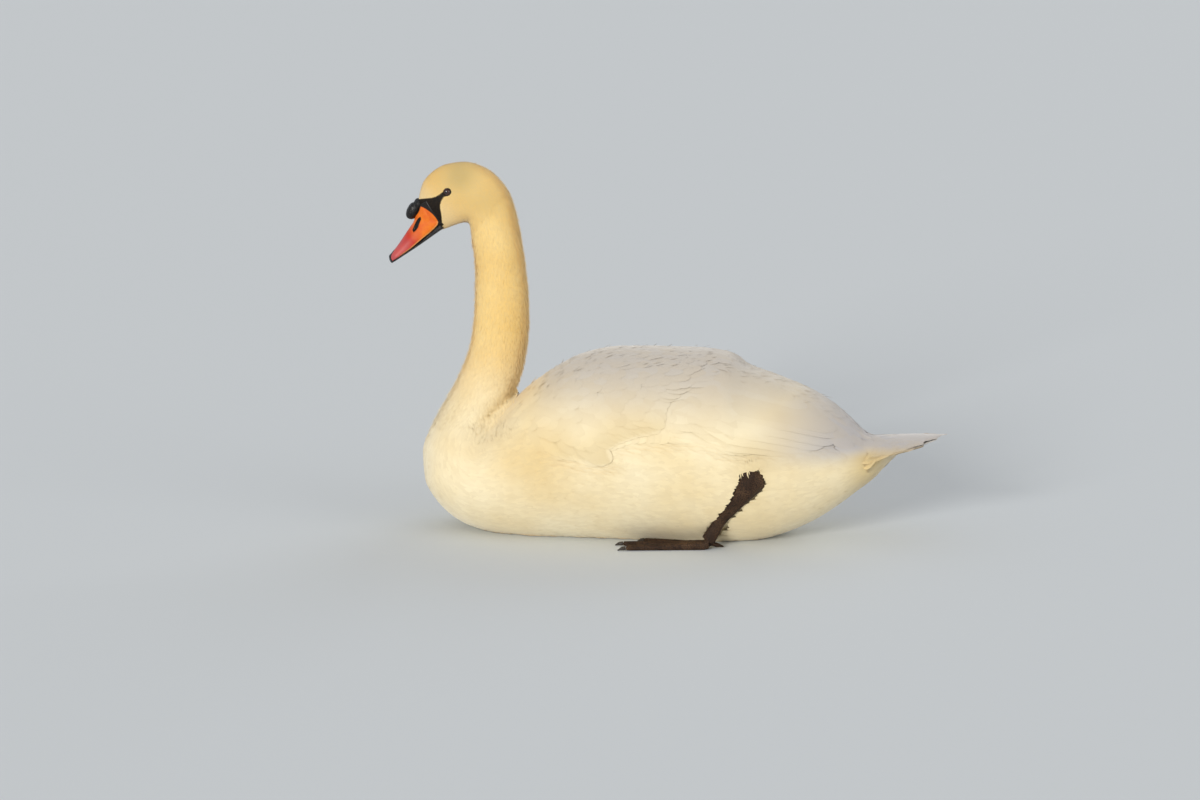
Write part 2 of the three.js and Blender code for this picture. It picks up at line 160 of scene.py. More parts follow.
def ease(low, high, x):
    """Rises smoothly from 0 to 1 as x goes from low to high."""
    u = np.clip((np.asarray(x, float) - low) / (high - low), 0, 1)
    return u * u * (3 - 2 * u)


def wrap(t):
    """A turn brought between -pi and pi."""
    return (t + np.pi) % (2 * np.pi) - np.pi


def unit(v):
    """Vectors of length 1."""
    return v / np.maximum(np.linalg.norm(v, axis=-1, keepdims=True), 1e-9)


def form(s, t):
    """Points of the body's outline surface."""
    s = np.clip(s, 0, LAST)
    upper_x, upper_z, lower_x, lower_z, half = np.moveaxis(at_station(s), -1, 0)
    up, out = np.cos(t), np.sin(t)
    crown = 1 - CROWN_NARROWING * (1 - ease(3, 8, s)) * np.maximum(0, up)
    x = (upper_x + lower_x) / 2 + (upper_x - lower_x) / 2 * up
    z = (upper_z + lower_z) / 2 + (upper_z - lower_z) / 2 * up
    return np.stack([x, half * crown * out, np.maximum(z, 0)], -1)


def with_slopes(surface, a, b, step=1e-3):
    """Values of a surface, and how fast they change with its two coordinates."""
    da = (surface(a + step, b) - surface(a - step, b)) / (2 * step)
    db = (surface(a, b + step) - surface(a, b - step)) / (2 * step)
    return surface(a, b), da, db


def form_frame(s, t):
    """Points, outward normals, the lie (towards the tail), and mm for each unit of s and of t. Where
    the sections turn about their upper ends they hardly move, and there the section's own plane serves."""
    point, ds, dt = with_slopes(form, s, t)
    sections = at_station(np.clip(s, 0, LAST))
    axis = unit(np.insert(sections[..., :2] - sections[..., 2:4], 1, 0, axis=-1))
    across = np.array([0.0, 1.0, 0.0])
    plain = unit(axis * np.cos(t)[..., None] + across * np.sin(t)[..., None])
    true = np.cross(dt, ds)
    true *= np.sign((true * plain).sum(-1, keepdims=True))
    share = ease(2, 12, np.linalg.norm(ds, axis=-1))[..., None]
    normal = unit(unit(true) * share + plain * (1 - share))
    lie = ds - (ds * normal).sum(-1, keepdims=True) * normal
    level = np.cross(axis, across)
    level *= np.sign((level * lie).sum(-1, keepdims=True) + 1e-12)
    lie = unit(unit(lie) * share + level * (1 - share))
    return point, normal, lie, np.linalg.norm(ds, axis=-1), np.linalg.norm(dt, axis=-1)


# The feathers from the rump out to the tip of the tail: X, the top's Z, the lowest Z, half width, how
# far the sides fall below the top, and how the section bulges below them: 2 for an ellipse, 1 for a wedge.
REAR = np.array([
    (322, 177, 76, 57, 50, 2.0),
    (340, 166, 90, 56, 35, 1.7),
    (361, 164.2, 112, 61, 21, 1.4),
    (388, 165, 138.5, 60, 14, 1.3),
    (414, 166, 152, 48, 9, 1.3),
    (438, 167.3, 161, 28, 5, 1.5),
    (462, 170.3, 169.5, 6, 0.5, 2.0),
], float)
REAR_SLOPES = slopes(REAR)
REAR_LAST = len(REAR) - 1
REAR_EDGE = 1.25  # the turn at the edges of the tail


def rear(r, t):
    """Points of the outline round rump and tail, at row number r of the table."""
    rows = smooth_rows(REAR, REAR_SLOPES, np.clip(r, 0, REAR_LAST))
    x, top, low, half, fall, bulge = np.moveaxis(rows, -1, 0)
    turn = np.abs(wrap(t))
    upper = np.clip(turn / REAR_EDGE, 0, 1) * np.pi / 2
    lower = np.clip((turn - REAR_EDGE) / (np.pi - REAR_EDGE), 0, 1) * np.pi / 2
    out = np.where(turn < REAR_EDGE, np.sin(upper), np.abs(np.cos(lower)) ** (2 / bulge))
    down = np.where(turn < REAR_EDGE, 0, np.sin(lower) ** (2 / bulge))
    z = top - fall * np.minimum(np.sin(upper), 1) ** 2 - (top - fall - low) * down
    return np.stack([x, half * out * np.sign(wrap(t)), z], -1)


def rear_frame(r, t):
    """As form_frame, for the rear."""
    point, dr, dt = with_slopes(rear, r, t)
    middle = point * (1, 0, 0) + (0, 0, 1) * (rear(r, 0 * t) + rear(r, 0 * t + np.pi)) / 2
    normal = np.cross(dt, dr)
    normal = unit(normal * np.sign((normal * (point - middle)).sum(-1, keepdims=True) + 1e-12))
    lie = unit(dr - (dr * normal).sum(-1, keepdims=True) * normal)
    return point, normal, lie, np.linalg.norm(dr, axis=-1), np.linalg.norm(dt, axis=-1)


FINE_REAR = smooth_rows(REAR, REAR_SLOPES, np.linspace(0, REAR_LAST, 300))


def tail_half(x):
    """Half width of the tail."""
    return np.interp(x, FINE_REAR[:, 0], FINE_REAR[:, 3])


def tail_top(x, y):
    """Height of the upper side of the tail."""
    top, half, fall = (np.interp(x, FINE_REAR[:, 0], FINE_REAR[:, k]) for k in (1, 3, 4))
    return top - fall * np.minimum(1, (y / half) ** 2)


FINE_S = np.linspace(0, LAST, 1200)
FINE_SECTIONS = at_station(FINE_S)
FINE_MIDDLE = (FINE_SECTIONS[:, :2] + FINE_SECTIONS[:, 2:4]) / 2
FINE_AXIS = (FINE_SECTIONS[:, :2] - FINE_SECTIONS[:, 2:4]) / 2
OUTSIDE_COST = 60  # mm that a place counts as off a section for each half height beyond its ends


def find(x, z):
    """Station number and turn (right side) of the surface over a point in side view."""
    rel = np.stack([x, z], -1)[..., None, :] - FINE_MIDDLE
    off = np.abs(rel[..., 0] * FINE_AXIS[:, 1] - rel[..., 1] * FINE_AXIS[:, 0])
    off /= np.linalg.norm(FINE_AXIS, axis=1)
    up = (rel * FINE_AXIS).sum(-1) / (FINE_AXIS**2).sum(-1)
    best = np.argmin(off + OUTSIDE_COST * np.maximum(0, np.abs(up) - 1), axis=-1)
    up = np.take_along_axis(up, best[..., None], -1)[..., 0]
    return FINE_S[best], np.arccos(np.clip(up, -1, 1))


# ------------ the crease where neck meets back, in mm
# In side view, along runs down the crease from its top, and off towards the back.
CREASE_TOP = np.array([-214.0, 214.0])
CREASE_RUN = np.array([-0.628, -0.778])
CREASE_OUT = np.array([0.778, -0.628])
CREASE_START = (-30, -70)  # the least along and off in the tables of half widths
CREASE_END = (121, 71)
CREASE_PITCH = 2.5
CREASE_BOTTOM = (-244, 177)


def blur(values, reach):
    """A table of values smoothed both ways, over so many of its steps."""
    steps = np.arange(-3 * reach, 3 * reach + 1)
    weights = np.exp(-((steps / reach) ** 2) / 2)
    weights /= weights.sum()
    for axis in (0, 1):
        padded = np.pad(values, [(3 * reach, 3 * reach) if k == axis else (0, 0) for k in (0, 1)], "edge")
        values = np.apply_along_axis(np.convolve, axis, padded, weights, "valid")
    return values


def crease_point(along, off):
    """X and Z of a place near the crease."""
    return (CREASE_TOP[k] + along * CREASE_RUN[k] + off * CREASE_OUT[k] for k in (0, 1))


def crease_widths():
    """Tables of the form's half widths round the crease: plain, and with the gap between neck and back
    filled but for a soft groove."""
    steps = (np.arange(low, high, CREASE_PITCH) for low, high in zip(CREASE_START, CREASE_END))
    along, off = np.meshgrid(*steps, indexing="ij")
    plain = form(*find(*crease_point(along, off)))[..., 1]
    filled = ease(-5, 12, along) * (1 - ease(52, 84, along)) * (1 - ease(12, 34, np.abs(off)))
    groove = 5 * np.exp(-((off / 2.6) ** 2)) * ease(-4, 6, along) * (1 - ease(20, 48, along))
    return plain, blur(np.maximum(plain, blur(plain, 3) * filled), 1) - groove


CREASE_PLAIN, CREASE_FILLED = crease_widths()


def crease_half(x, z, table=CREASE_FILLED):
    """Half width of the plumage over a point in side view, near the crease."""
    rel = np.stack([x, z], -1) - CREASE_TOP
    i, j = (np.clip((rel @ way - start) / CREASE_PITCH, 0, size - 1.001)
            for way, start, size in zip((CREASE_RUN, CREASE_OUT), CREASE_START, table.shape))
    a, b = i.astype(int), j.astype(int)
    u, v = i - a, j - b
    above = table[a, b] * (1 - v) + table[a, b + 1] * v
    below = table[a + 1, b] * (1 - v) + table[a + 1, b + 1] * v
    return above * (1 - u) + below * u


def by_crease(points):
    """Distance from the bottom of the crease in side view."""
    return np.hypot(points[..., 0] - CREASE_BOTTOM[0], points[..., 2] - CREASE_BOTTOM[1])


# ------------ the head's own frame, in mm
# along runs back from the tip of the bill, height up from the edge of the mouth.
HEAD_PITCH = np.radians(34)
BILL_TIP = (-413, 418)


def head_point(along, height, side=0.0):
    """Points from places in the head's frame."""
    along, height, side = np.broadcast_arrays(*(np.asarray(v, float) for v in (along, height, side)))
    x = BILL_TIP[0] + along * np.cos(HEAD_PITCH) - height * np.sin(HEAD_PITCH)
    z = BILL_TIP[1] + along * np.sin(HEAD_PITCH) + height * np.cos(HEAD_PITCH)
    return np.stack([x, side, z], -1)


def head_place(points):
    """Along and height of points in the head's frame."""
    x, z = points[..., 0] - BILL_TIP[0], points[..., 2] - BILL_TIP[1]
    return np.stack([x * np.cos(HEAD_PITCH) + z * np.sin(HEAD_PITCH),
                     z * np.cos(HEAD_PITCH) - x * np.sin(HEAD_PITCH)], -1)


def inside(points, outline):
    """Distance inside an outline in mm, less than 0 outside it."""
    a = np.asarray(outline, float)
    b = np.roll(a, -1, axis=0)
    rel = points[..., None, :] - a
    edge = b - a
    share = np.clip((rel * edge).sum(-1) / (edge**2).sum(-1), 0, 1)
    gap = np.linalg.norm(rel - share[..., None] * edge, axis=-1).min(-1)
    spans = (a[:, 1] > points[..., None, 1]) != (b[:, 1] > points[..., None, 1])
    rise = np.where(edge[:, 1] == 0, 1e-9, edge[:, 1])
    cross = points[..., None, 0] < a[:, 0] + (points[..., None, 1] - a[:, 1]) * edge[:, 0] / rise
    return np.where((spans & cross).sum(-1) % 2 == 1, gap, -gap)


# Bare black skin from the root of the bill to the eye, in along and height.
LORE = [(60, 57.5), (89.4, 58.7), (94.5, 57.2), (99.3, 55.6), (108, 52.2), (116, 48.8), (122.8, 47),
        (128.8, 46.4), (134, 46.6), (140.7, 47.6), (145.1, 47), (147.8, 44.9), (149.3, 42.4), (148.2, 40.1),
        (145.6, 37.9), (142.9, 37.3), (139.4, 38.1), (135, 39.4), (130.6, 37.8), (127, 35.9), (122.6, 32.4),
        (118.8, 27.4), (115.9, 21), (111.6, 13.8), (106.6, 6.8), (101.9, 2.3), (97.7, 0.3), (92, -0.8),
        (60, -10)]
BARE_ROUND_EYE = 5.4
FAR = 99.0  # mm, stands for any place too far off to matter
FACE_LOWEST = 440  # no bare skin of the face lies lower than this Z
EYE_LOW, EYE_HIGH = (np.array(corner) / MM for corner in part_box("eye_left"))
EYE_RADIUS = (EYE_HIGH[1] - EYE_LOW[1]) / 2
EYE_CENTRE = (EYE_LOW + EYE_HIGH) / 2 + (MIDDLE_X, 0, 0)
EYE_SIDE = abs(EYE_CENTRE[1])
BALL_RADIUS = EYE_RADIUS - 0.15


def bare_gap(points):
    """How far each point lies inside the bare skin of the face, in mm."""
    place = head_place(points)
    round_eye = BARE_ROUND_EYE - np.linalg.norm(place - head_place(EYE_CENTRE), axis=-1)
    return np.where(points[..., 2] > FACE_LOWEST, np.maximum(inside(place, LORE), round_eye), -FAR)


def lore_share(points):
    """1 on the bare black skin of the face, 0 on feathers."""
    return ease(-0.7, 0.7, bare_gap(points))


# ------------ the folded wing in side view, in mm
# X and Z of its edge from the shoulder back, then over the back. Both outlines start along one edge.
WING_FRONT = [(-222, 203), (-190, 180), (-155, 160), (-128, 145), (-84, 141), (-66, 134), (-43, 137)]
FORE_WING_REAR = [(-52, 157), (-32, 170), (-4, 182), (38, 193), (40, 223), (51, 240), (76, 256), (75, 267)]
WING_UNDER = [(-45, 158), (-10, 174), (49, 178), (90, 179), (113, 173), (135, 160), (160, 156), (203, 165)]
FORE_WING = WING_FRONT + FORE_WING_REAR + [(111, 281), (158, 300), (158, 400), (-260, 400)]
WING = WING_FRONT + WING_UNDER + [(233, 169), (300, 165), (347, 160), (347, 400), (-260, 400)]
WING_ROUNDING = 24  # how far beside the wing's edge the flank sinks in to meet it


def side_view(points):
    """X and Z of points."""
    return points[..., ::2]


def fore_wing_gap(points):
    """Distance inside the outline of the fore part of the folded wing."""
    return inside(side_view(points), FORE_WING)


def wing_gap(points):
    """Distance inside the whole folded wing's outline."""
    return inside(side_view(points), WING)


def behind_shoulder(points):
    """0 in front of the wing's shoulder, where it blends into the breast, and 1 behind it."""
    return ease(-185, -125, points[..., 0])


# ------------ markings and painted shade, the same on skin and coat
# Round spots in side view: X, Z, reach and strength.
PALE_FACE = [(-372, 520, 26, 0.55), (-330, 486, 30, 0.44)]
# The duller crown, then painted shade in a band behind the cheek.
DULL_CROWN_AND_CHEEK_SHADE = [(-300, 560, 30, 1), (-258, 518, 26, 0.45)]
# Painted shade, tinted buff, on the lower breast under the overhang of neck and wing.
BREAST_SHADE = [(-168, 140, 62, 0.35)]
# Painted shade on the same spot before the wing, and a darker patch on the flank by the leg.
FLANK_SHADE_AND_DARKENING = [(175, 142, 34, 0.35), (-168, 140, 62, 0.3)]
# Where each marking and each patch of painted shade fades in, along X or Z.
NECK_BUFF_Z, NECK_REAR_X = (165, 330), (-195, -150)
FACE_Z, CROWN_Z = (440, 480), (440, 520)
BACK_SHADE_Z, BACK_SHADE_X = (168, 288), (-200, -150)
TAIL_SHADE_Z, TAIL_SHADE_X = (120, 160), (130, 320)
UNDER_TAIL_SHADE_X, UNDER_TAIL_SHADE_Z = (290, 340), (164, 146)
FORE_WING_SHADE_X, FORE_WING_SHADE_TOP_Z = (-190, -120), (180, 230)


def spots(points, table):
    """The sum of round spots that fade outward."""
    x, z = points[..., 0], points[..., 2]
    return sum(strength * np.exp(-(((x - at_x) ** 2 + (z - at_z) ** 2) / reach**2))
               for at_x, at_z, reach, strength in table)


def buff_share(points):
    """How far the plumage is stained buff on head and neck, paling down to the breast, and tinted buff as
    painted shade on the lower breast under neck and wing.
    """
    x, z = points[..., 0], points[..., 2]
    neck = ease(*NECK_BUFF_Z, z) * (1 - ease(*NECK_REAR_X, x))
    pale = np.clip(spots(points, PALE_FACE), 0, 0.9) * ease(*FACE_Z, z) * (head_place(points)[..., 0] > 40)
    return np.maximum(neck * (1 - pale), spots(points, BREAST_SHADE))


def back_shade_share(points):
    """Painted shade: the back, wing ends and tail greyed where they turn away from the light."""
    x, z = points[..., 0], points[..., 2]
    return np.maximum(0.82 * ease(*BACK_SHADE_Z, z), ease(*TAIL_SHADE_X, x) * ease(*TAIL_SHADE_Z, z)) * ease(*BACK_SHADE_X, x)


def crown_and_shade_share(points):
    """The duller crown, and painted shade: behind the cheek, under the tail, before the wing and on the lower
    part of the fore wing, with a darker patch on the flank by the leg.
    """
    x, z = points[..., 0], points[..., 2]
    crown = np.minimum(spots(points, DULL_CROWN_AND_CHEEK_SHADE), 0.95) * ease(*CROWN_Z, z)
    # painted shadow under the tail
    under_tail_shade = 0.7 * ease(*UNDER_TAIL_SHADE_X, x) * ease(*UNDER_TAIL_SHADE_Z, z + 0.12 * (400 - x))
    # painted shade on the lower part of the fore wing, where it turns under
    gap = fore_wing_gap(points)
    wing = 0.3 * ease(-1, 2, gap) * (1 - ease(8, 60, gap)) * ease(*FORE_WING_SHADE_X, x)
    wing = wing * (1 - ease(*FORE_WING_SHADE_TOP_Z, z))
    return np.maximum.reduce([crown, under_tail_shade, spots(points, FLANK_SHADE_AND_DARKENING), wing])


# ------------ meshes from arrays
def to_frame(points):
    """Points in the stations' mm as one row of numbers in the frame's metres."""
    return ((np.asarray(points, float) - (MIDDLE_X, 0, 0)) * MM).astype(np.float32).ravel()


def read_points(thing):
    """The points of an object of this frame, in the stations' mm."""
    flat = np.empty(len(thing.data.vertices) * 3, np.float32)
    thing.data.vertices.foreach_get("co", flat)
    return flat.reshape(-1, 3) / MM + (MIDDLE_X, 0, 0)


def move_points(thing, points):
    """Puts the points of an object at new places."""
    thing.data.vertices.foreach_set("co", to_frame(points))


def add_thing(name, data):
    """A new object in the scene."""
    thing = bpy.data.objects.new(name, data)
    bpy.context.scene.collection.objects.link(thing)
    return thing


def copy_node(name, new_name):
    """A loose copy of a node of the frame."""
    return add_thing(new_name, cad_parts[name].data.copy())


def new_mesh(name, points, *face_sets):
    """A smooth mesh object from points in mm. Each set holds faces of one size."""
    mesh = bpy.data.meshes.new(name)
    sets = [np.asarray(faces, np.int32) for faces in face_sets]
    sizes = np.concatenate([np.full(len(faces), faces.shape[1], np.int32) for faces in sets])
    starts = np.concatenate([[0], np.cumsum(sizes)[:-1]]).astype(np.int32)
    mesh.vertices.add(len(points))
    mesh.vertices.foreach_set("co", to_frame(points))
    mesh.loops.add(int(sizes.sum()))
    mesh.loops.foreach_set("vertex_index", np.concatenate([faces.ravel() for faces in sets]))
    mesh.polygons.add(len(sizes))
    mesh.polygons.foreach_set("loop_start", starts)
    mesh.polygons.foreach_set("use_smooth", np.ones(len(sizes), bool))
    mesh.update(calc_edges=True)
    return add_thing(name, mesh)


def add_map(thing, name, places):
    """A UV map from one place for each vertex."""
    # rim: a painted highlight, a paler line along the lower edge of the orange
    mesh = thing.data
    corner = np.empty(len(mesh.loops), np.int32)
    mesh.loops.foreach_get("vertex_index", corner)
    layer = mesh.uv_layers.new(name=name)
    layer.uv.foreach_set("vector", np.asarray(places, np.float32)[corner].ravel())


def add_value(thing, name, values):
    """A value for each vertex, for the materials."""
    attribute = thing.data.attributes.new(name, "FLOAT", "POINT")
    attribute.data.foreach_set("value", np.asarray(values, np.float32).ravel())


def grid_faces(rows, columns):
    """Quads between rings of vertices."""
    r, c = np.meshgrid(np.arange(rows - 1), np.arange(columns), indexing="ij")
    d = (c + 1) % columns
    quads = np.stack([r * columns + c, r * columns + d, (r + 1) * columns + d, (r + 1) * columns + c], -1)
    return quads.reshape(-1, 4)


def fan_faces(ring, centre):
    """Triangles from a ring of vertex numbers to one vertex."""
    return np.stack([ring, np.roll(ring, -1), np.full_like(ring, centre)], -1)


def tube_mesh(name, rings):
    """A closed mesh through rings of points, capped at both ends, its faces turned outward."""
    rings = np.asarray(rings)
    rows, columns, _ = rings.shape
    points = np.vstack([rings.reshape(-1, 3), rings[0].mean(0), rings[-1].mean(0)])
    quads = grid_faces(rows, columns)
    first = fan_faces(np.arange(columns)[::-1], rows * columns)
    last = fan_faces(np.arange(columns) + (rows - 1) * columns, rows * columns + 1)
    middle = points.mean(0)
    a, b, c = (points[quads[:, k]] - middle for k in range(3))
    if (a * np.cross(b, c)).sum() < 0:
        quads, first, last = quads[:, ::-1], first[:, ::-1], last[:, ::-1]
    return new_mesh(name, points, quads, first, last)


def apply_modifiers(thing):
    """The object with its modifiers made part of its mesh."""
    shape = bpy.data.meshes.new_from_object(thing.evaluated_get(bpy.context.evaluated_depsgraph_get()))
    thing.modifiers.clear()
    thing.data = shape
    return thing


def remesh(thing, voxel, smooth):
    """The object fused and evened out in voxels of so many mm, then smoothed so many times."""
    modifier = thing.modifiers.new("fuse", "REMESH")
    modifier.mode = "VOXEL"
    modifier.voxel_size = voxel * MM
    passes = thing.modifiers.new("smooth", "SMOOTH")
    passes.factor = 0.5
    passes.iterations = smooth
    apply_modifiers(thing)
    thing.data.polygons.foreach_set("use_smooth", np.ones(len(thing.data.polygons), bool))
    return thing


def join(name, first, *others):
    """Several objects made one."""
    with bpy.context.temp_override(active_object=first, selected_editable_objects=[first, *others]):
        bpy.ops.object.join()
    first.name = name
    return first


def finish_piece(thing, material, slot, *replaced):
    """Gives a piece its material, hangs it under the root and hides the frame's nodes that it replaces."""
    thing.data.materials.clear()
    thing.data.materials.append(material)
    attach(thing, "root")
    if replaced:
        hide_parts(*replaced)
    return thing


# ------------ materials
class Nodes:
    """Short ways to add and join the nodes of a material or a world."""

    def __init__(self, owner):
        owner.use_nodes = True
        self.owner = owner
        self.tree = owner.node_tree

    def put(self, socket, value):
        """Sets a socket to a value or joins another to it."""
        if isinstance(value, bpy.types.NodeSocket):
            self.tree.links.new(value, socket)
        elif isinstance(value, tuple) and len(value) == 3 and socket.type == "RGBA":
            socket.default_value = (*value, 1)
        else:
            socket.default_value = value

    def add(self, kind, inputs=(), **settings):
        """A new node with its inputs and settings."""
        node = self.tree.nodes.new("ShaderNode" + kind)
        for key, value in settings.items():
            setattr(node, key, value)
        for key, value in dict(inputs).items():
            self.put(node.inputs[key], value)
        return node

    def value(self, name):
        """One of the values that the mesh has for each vertex."""
        return self.add("Attribute", attribute_name=name).outputs["Fac"]

    def math(self, operation, a, b=0.0):
        """The result of an operation on one or two values."""
        return self.add("Math", {0: a, 1: b}, operation=operation).outputs[0]

    def mix(self, share, a, b):
        """A colour between a and b."""
        return self.add("Mix", {0: share, 6: a, 7: b}, data_type="RGBA").outputs[2]

    def noise(self, scale, detail=3.0):
        """Soft noise between 0 and 1."""
        return self.add("TexNoise", {"Vector": self.place, "Scale": scale, "Detail": detail}).outputs["Fac"]

    def cells(self, scale):
        """How far each place is from the edge of its cell."""
        inputs = {"Vector": self.place, "Scale": scale}
        return self.add("TexVoronoi", inputs, feature="DISTANCE_TO_EDGE").outputs["Distance"]

    def span(self, value, low, high):
        """0 at low, 1 at high."""
        return self.add("MapRange", {0: value, 1: low, 2: high}).outputs[0]

    def set(self, node="Principled BSDF", **inputs):
        """Sets inputs of a node, with _ for each space in their names."""
        for key, value in inputs.items():
            self.put(self.tree.nodes[node].inputs[key.replace("_", " ")], value)

    def bump(self, height, strength, distance):
        """Relief on the surface."""
        node = self.add("Bump", {"Height": height, "Strength": strength, "Distance": distance})
        self.set(Normal=node.outputs[0])


def new_material(name, roughness):
    """A material's nodes, ready for its colours."""
    n = Nodes(bpy.data.materials.new(name))
    n.set(Roughness=roughness)
    n.place = n.add("TexCoord").outputs["Object"]
    return n


def srgb(*values):
    """A colour from its eight-bit values."""
    c = np.array(values) / 255
    return tuple(float(v) for v in np.where(c <= 0.04045, c / 12.92, ((c + 0.055) / 1.055) ** 2.4))


CREAM = srgb(250, 237, 203)
DEEP_CREAM = srgb(242, 223, 179)
# painted shade: the grey that back, wing ends and tail are mixed towards
BACK_SHADE_GREY = srgb(185, 182, 184)
BUFF = srgb(246, 213, 142)
DEEP_BUFF = srgb(238, 196, 114)
# the duller crown, and also the tone of the painted shade mixed in through the value named crown
CROWN_AND_SHADE_TONE = srgb(206, 180, 118)
BLACK_SKIN = srgb(18, 13, 8)
FOOT_SKIN = srgb(58, 40, 28)


def plumage_colour(n):
    """Cream body, buff head and neck, duller crown, in soft patches, with painted shade that greys back, wing
    ends and tail and darkens other spots.
    """
    patches = n.span(n.noise(9.0), 0.35, 0.68)
    colour = n.mix(patches, CREAM, DEEP_CREAM)
    # painted shade: the value named back greys the back, wing ends and tail
    colour = n.mix(n.value("back"), colour, BACK_SHADE_GREY)
    colour = n.mix(n.value("buff"), colour, n.mix(patches, BUFF, DEEP_BUFF))
    # the value named crown holds the duller crown and painted shade
    return n.mix(n.value("crown"), colour, CROWN_AND_SHADE_TONE)


def plumage_material():
    """Feathers: each with its own tone, slanting barbs along the vane and a fine fray."""
    n = new_material("plumage", 0.75)
    tone = n.math("MULTIPLY", n.value("tone"), 0.22)
    n.set(Base_Color=n.mix(tone, plumage_colour(n), srgb(206, 186, 148)))
    n.set(Specular_IOR_Level=0.2, Sheen_Weight=0.45, Sheen_Roughness=0.45)
    vane = n.add("SeparateXYZ", {0: n.add("UVMap", uv_map="Vane").outputs[0]})
    out = n.math("ABSOLUTE", vane.outputs[0])
    slant = n.math("SUBTRACT", vane.outputs[1], n.math("MULTIPLY", out, 0.7))
    barbs = n.math("MULTIPLY", n.math("SINE", n.math("MULTIPLY", slant, 6.5)), 0.25)
    fray = n.noise(700.0, 2.0)
    n.bump(n.math("ADD", barbs, fray), 0.35, 0.0004)
    return n.owner


def skin_material():
    """The plumage's colours under the coat, bare black skin on the face, dark scales on leg and foot."""
    n = new_material("skin", 0.55)
    grain = n.noise(300.0, 4.0)
    bare = n.mix(n.span(grain, 0.35, 0.7), BLACK_SKIN, srgb(34, 24, 14))
    colour = n.mix(n.value("lore"), plumage_colour(n), bare)
    scales = n.span(n.cells(330.0), 0.0, 0.14)
    foot = n.mix(n.span(n.noise(45.0), 0.4, 0.75), FOOT_SKIN, srgb(92, 68, 48))
    foot = n.mix(scales, srgb(24, 17, 13), foot)
    n.set(Base_Color=n.mix(n.value("foot"), colour, foot), Specular_IOR_Level=0.18)
    relief = n.math("MULTIPLY", scales, n.value("foot"))
    n.bump(n.math("ADD", relief, n.math("MULTIPLY", grain, 0.6)), 0.6, 0.0006)
    return n.owner


def bill_material():
    """Orange horn that turns red and then pink to the tip, with black edges and nostrils, and a painted
    highlight along the lower edge of the orange.
    """
    n = new_material("bill_orange", 0.4)
    flow = n.span(n.noise(90.0), 0.35, 0.7)
    orange = n.mix(flow, srgb(234, 122, 24), srgb(222, 98, 28))
    red = n.mix(flow, srgb(194, 52, 28), srgb(180, 46, 34))
    pink = n.mix(flow, srgb(194, 80, 76), srgb(178, 80, 84))
    share = n.value("pink")
    colour = n.mix(n.span(share, 0.0, 0.5), orange, red)
    colour = n.mix(n.span(share, 0.5, 1.0), colour, pink)
    # painted highlight along the lower edge of the orange
    colour = n.mix(n.math("MULTIPLY", n.value("rim"), 0.55), colour, srgb(244, 182, 104))
    black = n.mix(n.span(n.noise(400.0), 0.35, 0.7), srgb(12, 9, 7), srgb(26, 20, 14))
    n.set(Base_Color=n.mix(n.value("black"), colour, black), Specular_IOR_Level=0.3)
    n.set(Coat_Weight=0.1, Coat_Roughness=0.25)
    n.bump(n.math("ADD", n.noise(260.0, 4.0), n.math("MULTIPLY", n.noise(1400.0), 0.3)), 0.4, 0.0005)
    return n.owner


def horn_material():
    """Black horn, finely wrinkled."""
    n = new_material("bill_black", 0.38)
    pits = n.span(n.cells(300.0), 0.0, 0.25)
    n.set(Base_Color=n.mix(pits, srgb(8, 6, 6), srgb(20, 16, 15)), Specular_IOR_Level=0.3)
    n.set(Coat_Weight=0.12, Coat_Roughness=0.22)
    n.bump(n.math("ADD", n.math("MULTIPLY", pits, 0.5), n.noise(500.0, 4.0)), 0.7, 0.0008)
    return n.owner


def eye_material():
    """A wet dark eye: pupil, brown iris and the dull rim of the white."""
    n = new_material("eye", 0.06)
    streaks = n.noise(900.0, 4.0)
    iris = n.mix(n.span(streaks, 0.3, 0.7), srgb(40, 20, 14), srgb(78, 40, 28))
    colour = n.mix(n.value("pupil"), iris, srgb(7, 6, 6))
    n.set(Base_Color=n.mix(n.value("white"), colour, srgb(50, 36, 30)), Specular_IOR_Level=0.4)
    n.set(Coat_Weight=0.6, Coat_Roughness=0.03)
    return n.owner


def claw_material():
    """Dark horn, streaked."""
    n = new_material("claw", 0.35)
    streaks = n.noise(500.0, 3.0)
    n.set(Base_Color=n.mix(n.span(streaks, 0.35, 0.7), srgb(30, 25, 22), srgb(66, 56, 48)))
    n.set(Specular_IOR_Level=0.5)
    n.bump(streaks, 0.3, 0.0003)
    return n.owner


# ------------ skin
FOOT_VOXEL, CLAW_VOXEL = 1.5, 0.45
FACE_END = 4  # station down to which the skin's rows are closest
FACE_ROWS, BODY_ROWS, BODY_COLUMNS = 170, 180, 180
COAT_DEPTHS = {0: 0.9, 1: 1.3, 3: 2.0, 6: 3.0, 10: 4.5, 16: 5.5, 22: 7.5, 33: 7.5, LAST: 4.5}
HOLLOW_DEPTH = 3.4  # how much deeper it lies along the wing's lower edges
BARE_DEPTH = 0.2
BELLY_LIFT = 1.2  # from the floor up to the skin of the belly
BLADE_X = (330, 426)  # from front to rear of the blade under the tail feathers
BLADE_INSET, BLADE_DEPTH, BLADE_HALF = 4, 4.6, 1.6
WEB_ALONG, WEB_REACH, WEB_DEPTH = (4, 78), 30, 4.4  # the skin across the crease
LAYERS = ("scapulars", "secondaries", "primaries")
FLESH = ["head", "neck_upper", "neck_middle", "neck_lower", "breast", "trunk", "rump", "tail"]
FLESH += [f"wing_{side}_{layer}" for side in SIDES for layer in LAYERS]
FLESH += [f"{part}_{side}" for part in ("leg", "foot") for side in SIDES]


def coat_depth(s):
    """How far the skin lies under the outline of the plumage."""
    return np.interp(s, list(COAT_DEPTHS), list(COAT_DEPTHS.values()))


